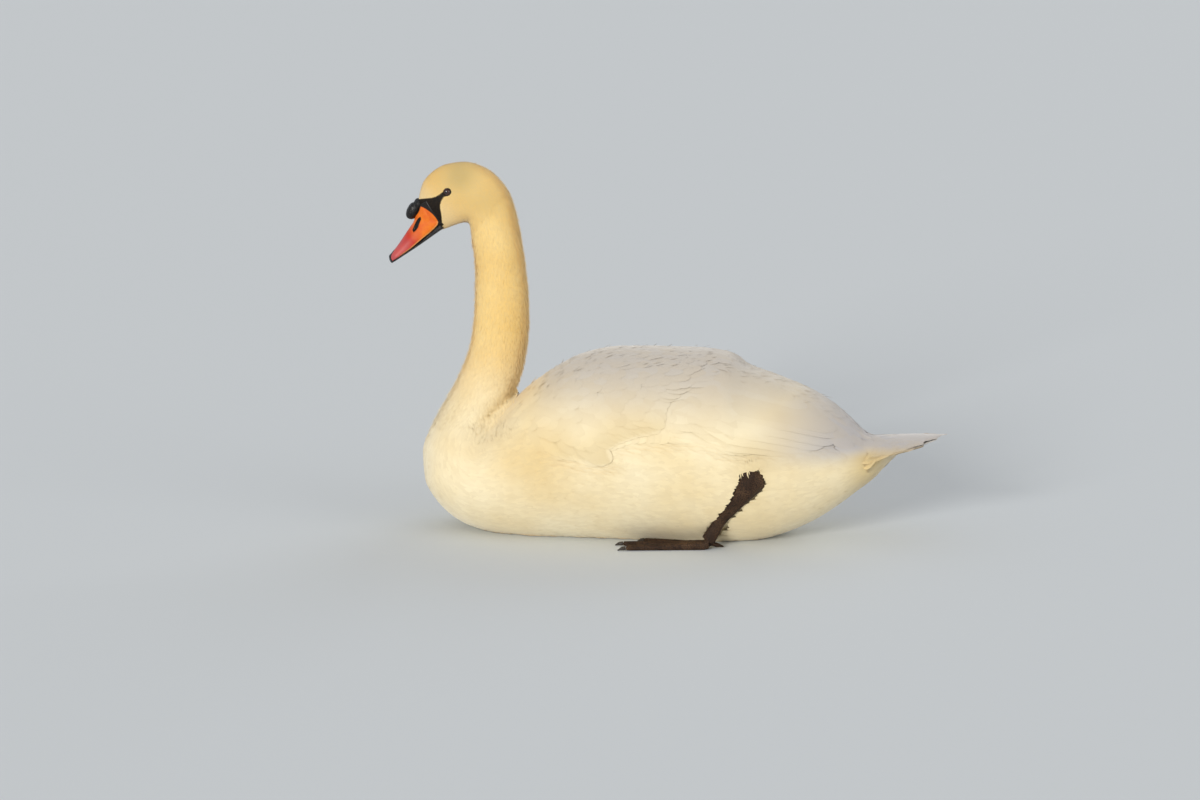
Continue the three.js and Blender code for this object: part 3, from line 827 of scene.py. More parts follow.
def add_markings(thing, points):
    """The shares of each colour of plumage, painted shade among them."""
    add_value(thing, "buff", buff_share(points))
    # the value named back holds painted shade
    add_value(thing, "back", back_shade_share(points))
    add_value(thing, "crown", crown_and_shade_share(points))


def mark_skin(thing, points, lore=0, foot=0):
    """The values that the skin's material needs, lore and foot being 1 where they show."""
    add_markings(thing, points)
    add_value(thing, "lore", np.broadcast_to(lore, len(points)))
    add_value(thing, "foot", np.broadcast_to(foot, len(points)))


def hollow(points):
    """1 along the lower edges of the folded wing, where the plumage sinks in, down to 0 away from them."""
    gap = np.minimum(np.abs(fore_wing_gap(points)), np.abs(wing_gap(points)))
    return np.exp(-((gap / WING_ROUNDING) ** 2)) * behind_shoulder(points)


def body_skin():
    """The skin of head, neck and trunk, with its rows closest on the face."""
    face_rows = np.linspace(0, FACE_END, FACE_ROWS, endpoint=False)
    rows = np.concatenate([face_rows, np.linspace(FACE_END, LAST, BODY_ROWS)])
    s, t = np.meshgrid(rows, circle(BODY_COLUMNS), indexing="ij")
    outline, normal, *_ = form_frame(s, t)
    bare = lore_share(outline)
    depth = (coat_depth(s) + HOLLOW_DEPTH * hollow(outline)) * (1 - bare) + BARE_DEPTH * bare
    rings = outline - normal * depth[..., None]
    rings[..., 2] = np.maximum(rings[..., 2], BELLY_LIFT)
    body = tube_mesh("skin", rings)
    marks = np.vstack([outline.reshape(-1, 3), outline[0].mean(0), outline[-1].mean(0)])
    mark_skin(body, marks, lore=np.concatenate([bare.ravel(), [1, 0]]))
    return body


LID_OPENING, LID_EDGE, LID_HEM = 4.75, 5.7, 7.0  # mm from the middle of the eye
LID_ROLL, LID_TUCK = 0.45, 1.6


def eyelids(sign):
    """The bare rims of the lids round one eye, rolled over the eyeball and tucked under the skin."""
    turns = circle(96)
    along, height = head_place(EYE_CENTRE)
    reaches = [*np.linspace(LID_OPENING, LID_EDGE, 8), *np.linspace(LID_EDGE, LID_HEM, 6)[1:]]
    rings = []
    for reach in reaches:
        share = (reach - LID_OPENING) / (LID_EDGE - LID_OPENING)
        around = reach * (1 + 0.05 * np.cos(turns) ** 2 - 0.07 * np.sin(turns) ** 2)
        point = head_point(along + around * np.cos(turns), height + around * np.sin(turns))
        s, t = find(point[..., 0], point[..., 2])
        skin_y = form(s, t)[..., 1]
        ball_y = EYE_SIDE + np.sqrt(EYE_RADIUS**2 - reach**2) + 0.15
        tuck = LID_TUCK * max(0.0, reach - LID_EDGE) / (LID_HEM - LID_EDGE)
        roll = LID_ROLL * np.sin(np.pi * min(1.0, share)) - tuck
        point[..., 1] = (ball_y + (skin_y - 0.1 - ball_y) * ease(0.2, 1.3, share) + roll) * sign
        rings.append(point)
    inner = rings[0].copy()
    inner[..., 1] -= sign
    rings = np.array([inner, *rings])
    if sign < 0:
        rings = rings[:, ::-1]
    points = rings.reshape(-1, 3)
    lids = new_mesh("lids", points, grid_faces(*rings.shape[:2]))
    mark_skin(lids, points, lore=1)
    return lids


def legs():
    """Both legs and feet, their solids fused and rounded."""
    copies = [copy_node(f"{part}_{side}", part) for part in ("leg", "foot") for side in SIDES]
    skin = remesh(join("legs", *copies), FOOT_VOXEL, 6)
    points = read_points(skin)
    points[:, 2] = np.maximum(points[:, 2], 0.0)
    points[:, 1] += np.sign(points[:, 1]) * thigh_out(points[:, 2])
    move_points(skin, points)
    mark_skin(skin, points, foot=1)
    return skin


def skin_tube(name, rings):
    """A closed piece of skin through rings of points."""
    thing = tube_mesh(name, rings)
    mark_skin(thing, read_points(thing))
    return thing


def tail_skin():
    """The thin blade of flesh and quills that the tail feathers lie on."""
    turns = circle(48)
    rings = []
    for x in np.linspace(*BLADE_X, 32):
        reach = (tail_half(x) - BLADE_INSET) * np.sin(turns)
        z = tail_top(x, reach) - BLADE_DEPTH + BLADE_HALF * np.cos(turns)
        rings.append(np.stack([np.full_like(z, x), reach, z], -1))
    return skin_tube("tail_skin", rings)


def crease_skin():
    """Skin that spans the crease between neck and back."""
    turns = circle(40)
    rings = []
    for along in np.linspace(*WEB_ALONG, 50):
        x, z = crease_point(along, WEB_REACH * np.cos(turns))
        side = np.clip(2 * np.sin(turns), -1, 1) * np.maximum(crease_half(x, z) - WEB_DEPTH, 0.3)
        rings.append(np.stack([x, side, z], -1))
    return skin_tube("crease_skin", rings)


# ------------ vanes
ARC = np.concatenate([[0], np.cumsum(np.linalg.norm(np.diff(FINE_MIDDLE, axis=0), axis=1))])
GIRTH = (FINE_SECTIONS[:, 4] + np.linalg.norm(FINE_AXIS, axis=1)) / 2  # mean radius of each section
UNWRAP = 1350.0  # mm of skin across the whole map
UNWRAP_MARGIN = 0.03
PATCH = 0.003  # each vane's own part of the map
VANE_THICKNESS = 0.5
VANE_LIFT = 0.3  # least height of a vane above the floor
LEAST_BEND = 25  # least radius of the body that a vane bends round
FLAT_COLUMNS = 3  # a vane of so many columns has a flat underside with none of its own


def unwrap(s, t):
    """Places on the skin opened along the throat and belly and laid flat."""
    across = 0.5 + wrap(t) * np.interp(s, FINE_S, GIRTH) / UNWRAP
    return np.stack([across, UNWRAP_MARGIN + np.interp(s, FINE_S, ARC) / UNWRAP], -1)


LEAST_UNIT = 12  # mm that one unit of a coordinate counts for at least, where sections crowd together


def lay(s, t, length, yaw, rows, frame_at=form_frame, last=LAST - 0.02):
    """Paths over the form from the roots, following its lie, turned by yaw towards the belly. A length
    below 0 runs from the tips back to the roots."""
    s, t = np.array(s, float), np.array(t, float)
    outward = np.sign(np.sin(t))
    step = length / (rows - 1)
    path = [(s, t)]
    for _ in range(rows - 1):
        *_, for_s, for_t = frame_at(s, t)
        s = np.clip(s + step * np.cos(yaw) / np.maximum(for_s, LEAST_UNIT), 0, last)
        t = t + outward * step * np.sin(yaw) / np.maximum(for_t, LEAST_UNIT)
        path.append((s, t))
    s, t = np.array(path).transpose(1, 2, 0)
    backward = np.mean(length) < 0
    return (s[:, ::-1], t[:, ::-1]) if backward else (s, t)


def vane_rows(point, normal, half, widths, height, camber, columns, bend, roll):
    """Rows of points round each vane, and their places across it from -1 to 1: over the top, then back
    underneath."""
    run = np.gradient(point, axis=1)
    along = unit(run - (run * normal).sum(-1, keepdims=True) * normal)
    across = np.cross(normal, along)
    v = np.linspace(-1, 1, columns)
    if columns > FLAT_COLUMNS:
        v = np.concatenate([v, v[-2:0:-1]])
    wide = (half[:, None] * widths)[..., None]
    reach = wide * v
    below = VANE_THICKNESS * (np.arange(len(v)) >= columns)
    arch = camber * wide * (1 - v**2) - below + roll * reach - reach**2 / (2 * np.asarray(bend)[..., None])
    lift = height[..., None] + arch
    rows = point[:, :, None] + across[:, :, None] * reach[..., None] + normal[:, :, None] * lift[..., None]
    return rows, v


def vane_facing(rows, normal, columns, soft):
    """Which way each point of the vanes faces, part of the way towards the body's own normal."""
    top = rows[:, :, :columns]
    facing = unit(np.cross(np.gradient(top, axis=1), np.gradient(top, axis=2)))
    facing[:, -1] = facing[:, -2]
    if columns > FLAT_COLUMNS:
        facing = np.concatenate([facing, facing[:, :, -2:0:-1]], 2)
    like_body = soft * ((facing * normal[:, :, None]).sum(-1, keepdims=True) > 0.3)
    return unit(facing * (1 - like_body) + normal[:, :, None] * like_body)


def with_tip(rows, tip):
    """One list for each vane: the values of all its rows but the last, then the tip's."""
    return np.concatenate([rows[:, :-1].reshape(len(rows), -1, 3), tip[:, None]], 1)


def vane_faces(rows, ring, columns):
    """The quads and triangles of one vane, and for each of them -1 where it is underneath, else 1."""
    tip = (rows - 1) * ring
    quads = grid_faces(rows - 1, ring)[:, ::-1]
    tips = fan_faces(np.arange(ring) + tip - ring, tip)[:, ::-1]
    root = np.array([[0, i, i + 1] for i in range(1, ring - 1)])
    sides = np.where(np.arange(ring) >= columns - 1, -1, 1)
    return (quads, np.tile(sides, rows - 2)), (np.vstack([tips, root]), np.append(sides, np.ones(len(root))))


def map_vanes(thing, point, roots, half, widths, v):
    """Each vane's own small part of the bake's map, and a map in mm across and along it for its barbs."""
    count, rows, _ = point.shape
    ring = len(v)
    across = np.append(np.tile(v, rows - 1), 0)
    along = np.append(np.repeat(np.linspace(0, 1, rows)[:-1], ring), 1)
    spread_out = np.append(np.repeat(np.maximum(widths[:-1], 0.3), ring), 1)
    nudge = np.where(np.abs(across) < 1, 0.04, 0.0)  # gives the faces at the root some area on the map
    local = np.stack([across * spread_out * 0.5, (along - 0.5 + nudge) * 0.9], -1) * PATCH
    add_map(thing, "OFBake", (roots[:, None] + local).reshape(-1, 2))
    steps = np.linalg.norm(np.diff(point, axis=1), axis=-1)
    far = np.hstack([np.zeros((count, 1)), np.cumsum(steps, 1)])
    far = np.hstack([np.repeat(far[:, :-1], ring, axis=1), far[:, -1:]])
    add_map(thing, "Vane", np.stack([across * half[:, None], far], -1).reshape(-1, 2))


def vanes(name, point, normal, roots, half, widths, height, camber=0.25, columns=3, soft=0.35, bend=np.inf,
          roll=0.0):
    """Closed, slightly arched vanes along paths of points, shape (count, rows, 3), from root to tip.
    half is each one's half width, widths its share of that along the path, and height how far it stands
    off the path. roots are places on the unwrap, bend the radius of the body under it, roll how far one
    edge stands above the other, and soft how much it takes the light like the body and not like a blade
    of its own."""
    rows, v = vane_rows(point, normal, half, widths, height, camber, columns, bend, roll)
    points = with_tip(rows, point[:, -1] + normal[:, -1] * height[:, -1:])
    facing = vane_facing(rows, normal, columns, soft)
    facing = with_tip(facing, facing[:, -1, columns // 2])
    sets = vane_faces(rows.shape[1], len(v), columns)
    count, size, _ = points.shape
    first = (np.arange(count) * size)[:, None, None]
    all_faces = ((first + faces).reshape(-1, faces.shape[1]) for faces, _ in sets)
    thing = new_mesh(name, points.reshape(-1, 3), *all_faces)
    map_vanes(thing, point, roots, half, widths, v)
    add_markings(thing, points.reshape(-1, 3))
    add_value(thing, "tone", np.repeat(CHANCE.random(count), size))
    at_corners = [(facing[:, faces] * side[:, None, None]).reshape(-1, 3) for faces, side in sets]
    thing.data.normals_split_custom_set(np.vstack(at_corners))
    return thing


def surface_vanes(name, s, t, half, widths, height, **options):
    """Vanes along paths of stations and turns, none of them below the floor."""
    point, normal, *_, for_t = form_frame(s, t)
    height = np.broadcast_to(height, s.shape)
    faces_down = normal[..., 2] < -0.5
    height = np.where(faces_down, np.minimum(height, 0), height)
    thing = vanes(name, point, normal, unwrap(s[:, 0], t[:, 0]), half, widths, height,
                  bend=np.maximum(for_t, LEAST_BEND), **options)
    points = read_points(thing)
    points[:, 2] = np.maximum(points[:, 2], VANE_LIFT)
    move_points(thing, points)
    return thing


EVEN_STEPS = np.array([0.7548776662466927, 0.5698402909980532])  # steps that fill a square evenly


def spread(count, s_range, t_range, seed, frame_at=form_frame):
    """Evenly scattered stations and turns, equally dense on every part of the form."""
    rows, columns = np.linspace(*s_range, 240), np.linspace(*t_range, 200)
    s, t = np.meshgrid(rows, columns, indexing="ij")
    *_, for_s, for_t = frame_at(s, t)
    area = for_s * for_t
    by_row = np.cumsum(area.sum(1))
    by_row /= by_row[-1]
    within = np.cumsum(area, axis=1)
    within /= within[:, -1:]
    a, b = (0.5 + (np.arange(count) + seed)[:, None] * EVEN_STEPS).T % 1
    place = np.interp(a, np.concatenate([[0], by_row]), np.concatenate([rows[:1], rows]))
    row = np.clip(np.searchsorted(rows, place), 0, len(rows) - 1)
    column = (within[row] < b[:, None]).sum(1)
    before = np.where(column > 0, within[row, np.maximum(column - 1, 0)], 0)
    after = within[row, np.minimum(column, len(columns) - 1)]
    part = (b - before) / np.maximum(after - before, 1e-9)
    turn = columns[np.maximum(column - 1, 0)] + part * (columns[1] - columns[0])
    return place, turn


def scatter(count, s_range, t_range, seed, keep):
    """Scattered stations and turns, but only where keep says yes to the point on the form."""
    s, t = spread(count, s_range, t_range, seed)
    kept = keep(form(s, t))
    return s[kept], t[kept]


# Small feathers, row by row: their widths, and the share of the root's depth at which each row lies.
SMALL, SMALL_SINK = np.array([0.6, 1, 0]), np.array([1, 0.3, -0.1])
MEDIUM, MEDIUM_SINK = np.array([0.5, 0.95, 0.8, 0]), np.array([1, 0.45, 0.1, 0])
BODY, BODY_SINK = np.array([0.45, 0.9, 1, 0.7, 0]), np.array([1, 0.6, 0.3, 0.1, 0])
CREASE_SINK = np.array([1, 0.6, 0.25, 0.05, 0])
FRINGE_RISE = np.array([0, 0.3, 0.62, 1])  # share of its rise that each row of the loose fringe reaches
SHAGGY_RISE = np.array([0, 0.1, 0.45, 1])


def big_widths(u, point=0.3):
    """A long feather at the places u: narrow at the root, full to near the tip, rounded there."""
    rounding = np.sqrt(np.maximum(0, 1 - (np.maximum(0, u - 1 + point) / point) ** 2))
    return (0.45 + 0.55 * ease(0, 0.4, u)) * rounding


def toward_tip(rows):
    """Places along a feather that draw closer together to its tip, for a round end."""
    return 1 - (1 - np.linspace(0, 1, rows)) ** 1.5


def lay_long(s, t, length, yaw, rows, *where):
    """Paths as lay gives them, but with their rows drawn closer together to the tips for round ends, and
    how far along each row is."""
    u = toward_tip(rows)
    steps = np.linspace(0, 1, rows)
    paths = lay(s, t, length, yaw, rows, *where)
    s, t = (np.stack([np.interp(u, steps, row) for row in path]) for path in paths)
    return s, t, u


# ------------ regions of the coat
def node_tree(name):
    """The surface of a node of the frame, for rays to strike."""
    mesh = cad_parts[name].data
    return BVHTree.FromPolygons([v.co for v in mesh.vertices], [p.vertices for p in mesh.polygons])


LEGS = {sign: node_tree("leg_" + side) for side, sign in SIDES.items()}  # by their sign of Y
LEG_FRONT, LEG_REAR, LEG_TOP = 60, 215, 155
LEG_SHOWS = 7.5  # mm under the outline, down to which no plumage covers a leg
SHORTEST = 0.4  # share of its length that a feather above a leg keeps, or else it is left out
RAY_START = 0.4  # metres beside the swan
HEAD_FEATHERS, NAPE_TIPS, THROAT_TIPS, CREASE_FEATHERS = 13500, 1500, 1100, 1500
LEG_TIPS = 19  # loose feather tips over each leg
HEAD_COAT_END = 6.4  # station
FACE_ROOTS, FACE_TIPS = 2.5, -0.3  # how far inside the bare face roots and tips may lie
TIPS_CLEAR, NECK_CLEAR, BODY_CLEAR = 16, 26, 30  # how far each kind of feather keeps from the crease
UNDER_WING = 18  # how far inside the wing's outline the body's feathers may start
ALL_ROUND = (-np.pi, np.pi)


def thigh_out(z):
    """How far the top of each leg stands out from its solid, in mm."""
    return 4.0 * ease(112, 136, z)


def leg_depth(points):
    """How deep the outer side of a leg lies under each point, in mm: far where there is none."""
    flat = points.reshape(-1, 3)
    depth = np.full(len(flat), FAR)
    close = (flat[:, 0] > LEG_FRONT) & (flat[:, 0] < LEG_REAR) & (flat[:, 2] < LEG_TOP)
    for i in np.nonzero(close)[0]:
        x, y, z = flat[i]
        sign = 1 if y > 0 else -1
        start = Vector(((x - MIDDLE_X) * MM, sign * RAY_START, z * MM))
        hit, *_ = LEGS[sign].ray_cast(start, Vector((0, -sign, 0)))
        if hit is not None:
            depth[i] = abs(y) - abs(hit.y) / MM - thigh_out(z)
    return depth.reshape(points.shape[:-1])


def over_leg(points):
    """Where no plumage covers a leg."""
    return leg_depth(points) < LEG_SHOWS


def shorten(rows, share):
    """Paths cut down to a share of their length, with as many rows."""
    count = rows.shape[1]
    at = share[:, None] * np.arange(count)
    low = np.minimum(at.astype(int), count - 2)
    before, after = (np.take_along_axis(rows, low + k, 1) for k in (0, 1))
    return before + (after - before) * (at - low)


def head_coat():
    """The short feathers of the head, none of them over the bare face."""
    s, t = scatter(HEAD_FEATHERS, (0, HEAD_COAT_END), ALL_ROUND, 3, lambda root: bare_gap(root) < FACE_ROOTS)
    grow = ease(0, 6, s)
    length = (4.6 + 4.6 * grow) * jitter(len(s), 0.85, 1.15)
    path_s, path_t = lay(s, t, length, jitter(len(s), -0.16, 0.16), 3)
    clear = bare_gap(form(path_s[:, -1], path_t[:, -1])) < FACE_TIPS
    path_s, path_t, grow = path_s[clear], path_t[clear], grow[clear]
    stand = -0.8 - 0.2 * grow + jitter(len(grow), -0.25, 0.25)
    depth = (1.0 + 1.4 * grow)[:, None] * SMALL_SINK
    half = (1.0 + 0.75 * grow) * jitter(len(grow), 0.85, 1.15)
    height = stand[:, None] - depth
    return surface_vanes("coat_head", path_s, path_t, half, SMALL, height, camber=0.14, soft=0.5)


def neck_fringe():
    """Fine loose tips along the nape and throat."""
    things = []
    for middle, low, high, count in ((0.0, 4.2, 16.6, NAPE_TIPS), (np.pi, 7.2, 20.0, THROAT_TIPS)):
        turns = (middle - 0.55, middle + 0.55)
        s, t = scatter(count, (low, high), turns, 51, lambda root: by_crease(root) > TIPS_CLEAR)
        length = jitter(len(s), 7, 14) * (1 + 0.4 * ease(8, 16, s))
        path_s, path_t = lay(s, t, length, jitter(len(s), -0.35, 0.35), 4)
        rise = jitter(len(s), 1.2, 3.0) * (1 - 0.75 * ease(16, 18, s)) * (0.5 + 0.5 * ease(4, 8, s))
        height = -2.4 + (2.4 + rise)[:, None] * FRINGE_RISE
        things.append(surface_vanes("fringe", path_s, path_t, jitter(len(s), 0.5, 0.95), MEDIUM, height))
    return join("neck_fringe", *things)


def neck_coat(name, count, s_range, seed):
    """Small feathers round part of the neck, a little shaggy on nape and throat."""
    s, t = scatter(count, s_range, ALL_ROUND, seed, lambda root: by_crease(root) > NECK_CLEAR)
    nape = np.exp(-((wrap(t) / 0.6) ** 2))
    throat = np.exp(-(((np.pi - np.abs(wrap(t))) / 0.5) ** 2))
    low = ease(6, 16, s)
    length = (10.5 + 4 * low + 3 * nape) * jitter(len(s), 0.85, 1.2)
    path_s, path_t = lay(s, t, length, jitter(len(s), -0.14, 0.14), 4)
    stand = -1.5 + jitter(len(s), -0.35, 0.35)
    depth = (2.2 + 1.0 * low)[:, None] * MEDIUM_SINK
    proud = nape * jitter(len(s), -0.2, 1.6) + throat * jitter(len(s), -0.2, 1.1)
    proud = proud + nape * low * (CHANCE.random(len(s)) > 0.65) * jitter(len(s), 1.2, 4.2)
    half = (1.8 + 0.6 * low) * jitter(len(s), 0.85, 1.15)
    height = stand[:, None] - depth + proud[:, None] * SHAGGY_RISE
    return surface_vanes(name, path_s, path_t, half, MEDIUM, height, camber=0.14, soft=0.5)


def crease_coat():
    """Neck feathers that run down over the crease and out over the shoulder."""
    u = np.linspace(0, 1, len(BODY))
    things = []
    for sign in SIDES.values():
        along, off = jitter(CREASE_FEATHERS, -8, 86), jitter(CREASE_FEATHERS, -44, 38)
        x, z = crease_point(along, off)
        keep = ((along - 34) / 52) ** 2 + (off / 44) ** 2 < 1
        keep &= (crease_half(x, z, CREASE_PLAIN) > 12) | (along > 14)
        x, z, off = x[keep], z[keep], off[keep]
        s, t = find(x, z)
        steep = np.radians(74 - 44 * ease(-16, 30, off)) + jitter(len(x), -0.15, 0.15)
        length = 13 * jitter(len(x), 0.8, 1.2)
        x = x[:, None] + (length * np.cos(steep))[:, None] * u
        z = z[:, None] - (length * np.sin(steep))[:, None] * u
        out, by_x, by_z = with_slopes(crease_half, x, z, 1.5)
        normal = unit(np.stack([-by_x, np.ones_like(x), -by_z], -1)) * (1, sign, 1)
        point = np.stack([x, sign * out, z], -1)
        stand = -1.0 + jitter(len(x), -0.4, 0.4)
        height = stand[:, None] - 2.8 * CREASE_SINK
        half = 2.3 * jitter(len(x), 0.85, 1.15)
        things.append(vanes(f"crease_{sign + 1}", point, normal, unwrap(s, sign * t), half, BODY, height))
    return join("coat_crease", *things)


def under_wing(points):
    """How far the flank sinks in under the wing's edge, in mm."""
    gap = -wing_gap(points)
    deep = 7.8 - 3.0 * ease(110, 230, points[..., 0])
    return deep * (1 - ease(0, WING_ROUNDING, gap)) * behind_shoulder(points) * (gap > -40)


def body_coat(name, count, s_range, t_range, seed, length=27.0, half=5.2):
    """Feathers over part of breast, flank or rump, cut short above a leg."""
    s, t = scatter(count, s_range, t_range, seed,
                   lambda root: (wing_gap(root) < UNDER_WING) & (by_crease(root) > BODY_CLEAR))
    path_s, path_t = lay(s, t, length * jitter(len(s), 0.85, 1.15), jitter(len(s), -0.16, 0.16), 5)
    bare = over_leg(form(path_s, path_t))
    share = np.where(bare.any(1), (bare.argmax(1) - 0.3) / 4, 1)
    keep = share > SHORTEST
    path_s, path_t = (shorten(path[keep], share[keep]) for path in (path_s, path_t))
    stand = -0.8 + jitter(len(path_s), -0.15, 0.15)
    half = half * jitter(len(path_s), 0.85, 1.15)
    height = stand[:, None] - 2.0 * BODY_SINK - under_wing(form(path_s, path_t))
    return surface_vanes(name, path_s, path_t, half, BODY, height, camber=0.12, soft=0.6)


# ------------ wings, back and tail
BIG_ROWS, BIG_COLUMNS = 12, 7
# X and half width of two strips along the back. Scapulars lie beside the first, the mantle in the second.
SCAPULARS_FROM = [(-260, 44), (-150, 32), (0, 24), (160, 20)]
MANTLE_TO = [(-260, 60), (-150, 46), (0, 36), (160, 34), (260, 46), (320, 60)]


def along_line(line, pitch):
    """Points every so often along a line."""
    line = np.array(line, float)
    length = np.concatenate([[0], np.cumsum(np.linalg.norm(np.diff(line, axis=0), axis=1))])
    at = np.arange(0, length[-1], pitch)
    return np.stack([np.interp(at, length, line[:, 0]), np.interp(at, length, line[:, 1])], -1)


def wing_yaw(x, z):
    """How steeply the small feathers of the wing run down: flat on top, steep at the lower edge."""
    return np.radians(6 + 34 * (1 - ease(130, 285, z)) + 8 * ease(-20, -120, x))


def side_fall(points):
    """How much deeper the fore wing's edge lies down the side than along the back."""
    return 5.6 * (1 - ease(235, 272, points[..., 2]))


def scapular_height(points):
    """The fore wing swells out, and rounds in to its lower and rear edges."""
    fall = 0.9 + side_fall(points)
    return -0.5 - fall * (1 - ease(-4, 30, fore_wing_gap(points))) * behind_shoulder(points)


def secondary_height(points):
    """The rear wing rises from under the fore wing, and rounds in to its own lower edge."""
    at_front = (1.2 + side_fall(points)) * (1 - ease(0, 34, -fore_wing_gap(points)))
    at_edge = (5.6 - 2.6 * ease(110, 230, points[..., 0])) * (1 - ease(-4, 34, wing_gap(points)))
    return -0.8 - np.maximum(at_front, at_edge)


def beside_back(points, table):
    """How far out beside a strip along the back each point lies, in mm."""
    return np.abs(points[:, 1]) - np.interp(points[:, 0], *zip(*table))


def wing_coat(name, side, tips, edge, height_of, pitch, length, yaw_share):
    """Rounded feathers over part of a wing, laid from their tips, with a row of them at a pitch along its
    edge. height_of says how far they stand off the form."""
    sign = SIDES[side]
    edge = along_line(edge, pitch)
    s, t = np.hstack([tips, find(edge[:, 0], edge[:, 1])])
    points = form(s, t)
    yaw = wing_yaw(points[:, 0], points[:, 2]) * yaw_share + jitter(len(s), -0.07, 0.07)
    path_s, path_t, u = lay_long(s, t * sign, -length * jitter(len(s), 0.9, 1.12), yaw, BIG_ROWS)
    height = height_of(form(path_s, path_t)) + jitter(len(s), -0.12, 0.12)[:, None] - 2.0 * (1 - u) ** 1.3
    half = 13 * jitter(len(s), 0.9, 1.1)
    return surface_vanes(name, path_s, path_t, half, big_widths(u, 0.45), height, camber=0.05,
                         columns=BIG_COLUMNS, roll=0.03 * sign)


def scapular_coat(side, seed):
    """The rounded feathers over the shoulder and fore part of the wing."""
    tips = scatter(560, (20.4, 31), (0.05, 2.1), seed,
                   lambda tip: (fore_wing_gap(tip) > 4) & (beside_back(tip, SCAPULARS_FROM) > 0))
    return wing_coat(f"scapulars_{side}", side, tips, FORE_WING[2:15], scapular_height,
                     pitch=11, length=50, yaw_share=1.0)


def secondary_coat(side, seed):
    """The coverts and outer secondaries, below and behind the scapulars."""
    tips = scatter(520, (22, 33), (0.2, 2.1), seed,
                   lambda tip: (wing_gap(tip) > 4) & (fore_wing_gap(tip) < 28))
    return wing_coat(f"secondaries_{side}", side, tips, WING[7:16], secondary_height,
                     pitch=12, length=66, yaw_share=0.75)


LONG_ROWS = 26
LONG_BOW = 5  # how far each long feather arches up
# Roots and tips of the long feathers in side view, the undermost first.
LONG_ROOTS = [(96, 176), (100, 188), (104, 199), (108, 209), (110, 219), (112, 228), (112, 237), (110, 245),
              (108, 253), (104, 260), (100, 267)]
LONG_TIPS = [(244, 160), (262, 163), (280, 167), (296, 171), (302, 180), (296, 188), (283, 196), (266, 206),
             (248, 217), (228, 228), (206, 238)]
PRIMARY_ROOTS = [(214, 172), (218, 176), (222, 180), (226, 184), (230, 188)]
PRIMARY_TIPS = [(312, 160), (322, 161), (330, 162), (335, 164), (336, 167)]


def long_feathers(name, side, roots, tips, half, first, step):
    """Long feathers from roots to tips. The first stands so far off the form, and each lies a step higher
    than the one before."""
    sign = SIDES[side]
    roots, tips = np.array(roots, float), np.array(tips, float)
    u = toward_tip(LONG_ROWS)
    places = roots[:, None] + (tips - roots)[:, None] * u[:, None]
    places[..., 1] += LONG_BOW * np.sin(np.pi * u)
    s, t = find(places[..., 0], places[..., 1])
    stand = first + step * np.arange(len(roots))
    height = stand[:, None] + secondary_height(form(s, t)) - 2.0 * (1 - u) ** 2
    half = half * jitter(len(roots), 0.95, 1.05)
    return surface_vanes(name, s, t * sign, half, big_widths(u, 0.16), height,
                         camber=0.05, columns=BIG_COLUMNS, roll=0.05 * sign)


def mantle_coat():
    """The ridged feathers along the back, some tips a little raised."""
    s, t = scatter(760, (21.5, 34.7), (-1.3, 1.3), 77, lambda tip: beside_back(tip, MANTLE_TO) < 0)
    length = 52 * jitter(len(s), 0.9, 1.15)
    path_s, path_t, u = lay_long(s, t, -length, jitter(len(s), -0.08, 0.08), BIG_ROWS)
    stand = -0.9 + jitter(len(s), -0.2, 0.2)
    height = stand[:, None] - 2.2 * (1 - u) ** 1.3 + jitter(len(s), 0, 0.5)[:, None] * u**4
    half = 12.5 * jitter(len(s), 0.85, 1.1)
    return surface_vanes("mantle", path_s, path_t, half, big_widths(u, 0.4), height, camber=0.12,
                         columns=BIG_COLUMNS)


def back_fringe():
    """Loose narrow tips that stand a little off the line of the back."""
    s, t = spread(420, (21.6, 33.6), (-0.5, 0.5), 91)
    length = jitter(len(s), 14, 30)
    u = np.linspace(0, 1, 6)
    path_s, path_t = lay(s, t, length, jitter(len(s), -0.25, 0.25), len(u))
    rise = jitter(len(s), 0.6, 2.2) + (CHANCE.random(len(s)) > 0.72) * jitter(len(s), 1.5, 4.5)
    height = -2.2 + (1.2 + rise)[:, None] * u**1.6
    return surface_vanes("back_fringe", path_s, path_t, jitter(len(s), 1.0, 2.2), big_widths(u, 0.8), height)


TAIL_FEATHERS = 11  # on each side of the middle one
TAIL_SIDE = 1.1  # the turn beyond which coverts lie beside the tail or under it
TAIL_ROOT_X, TAIL_END_X = 300, 460.5
TAIL_SWEEP = 96  # how much less far back the outermost feather ends
TAIL_ROOT_REACH, TAIL_TIP_REACH = 30, 56  # from the middle line to the root and tip of the outermost one


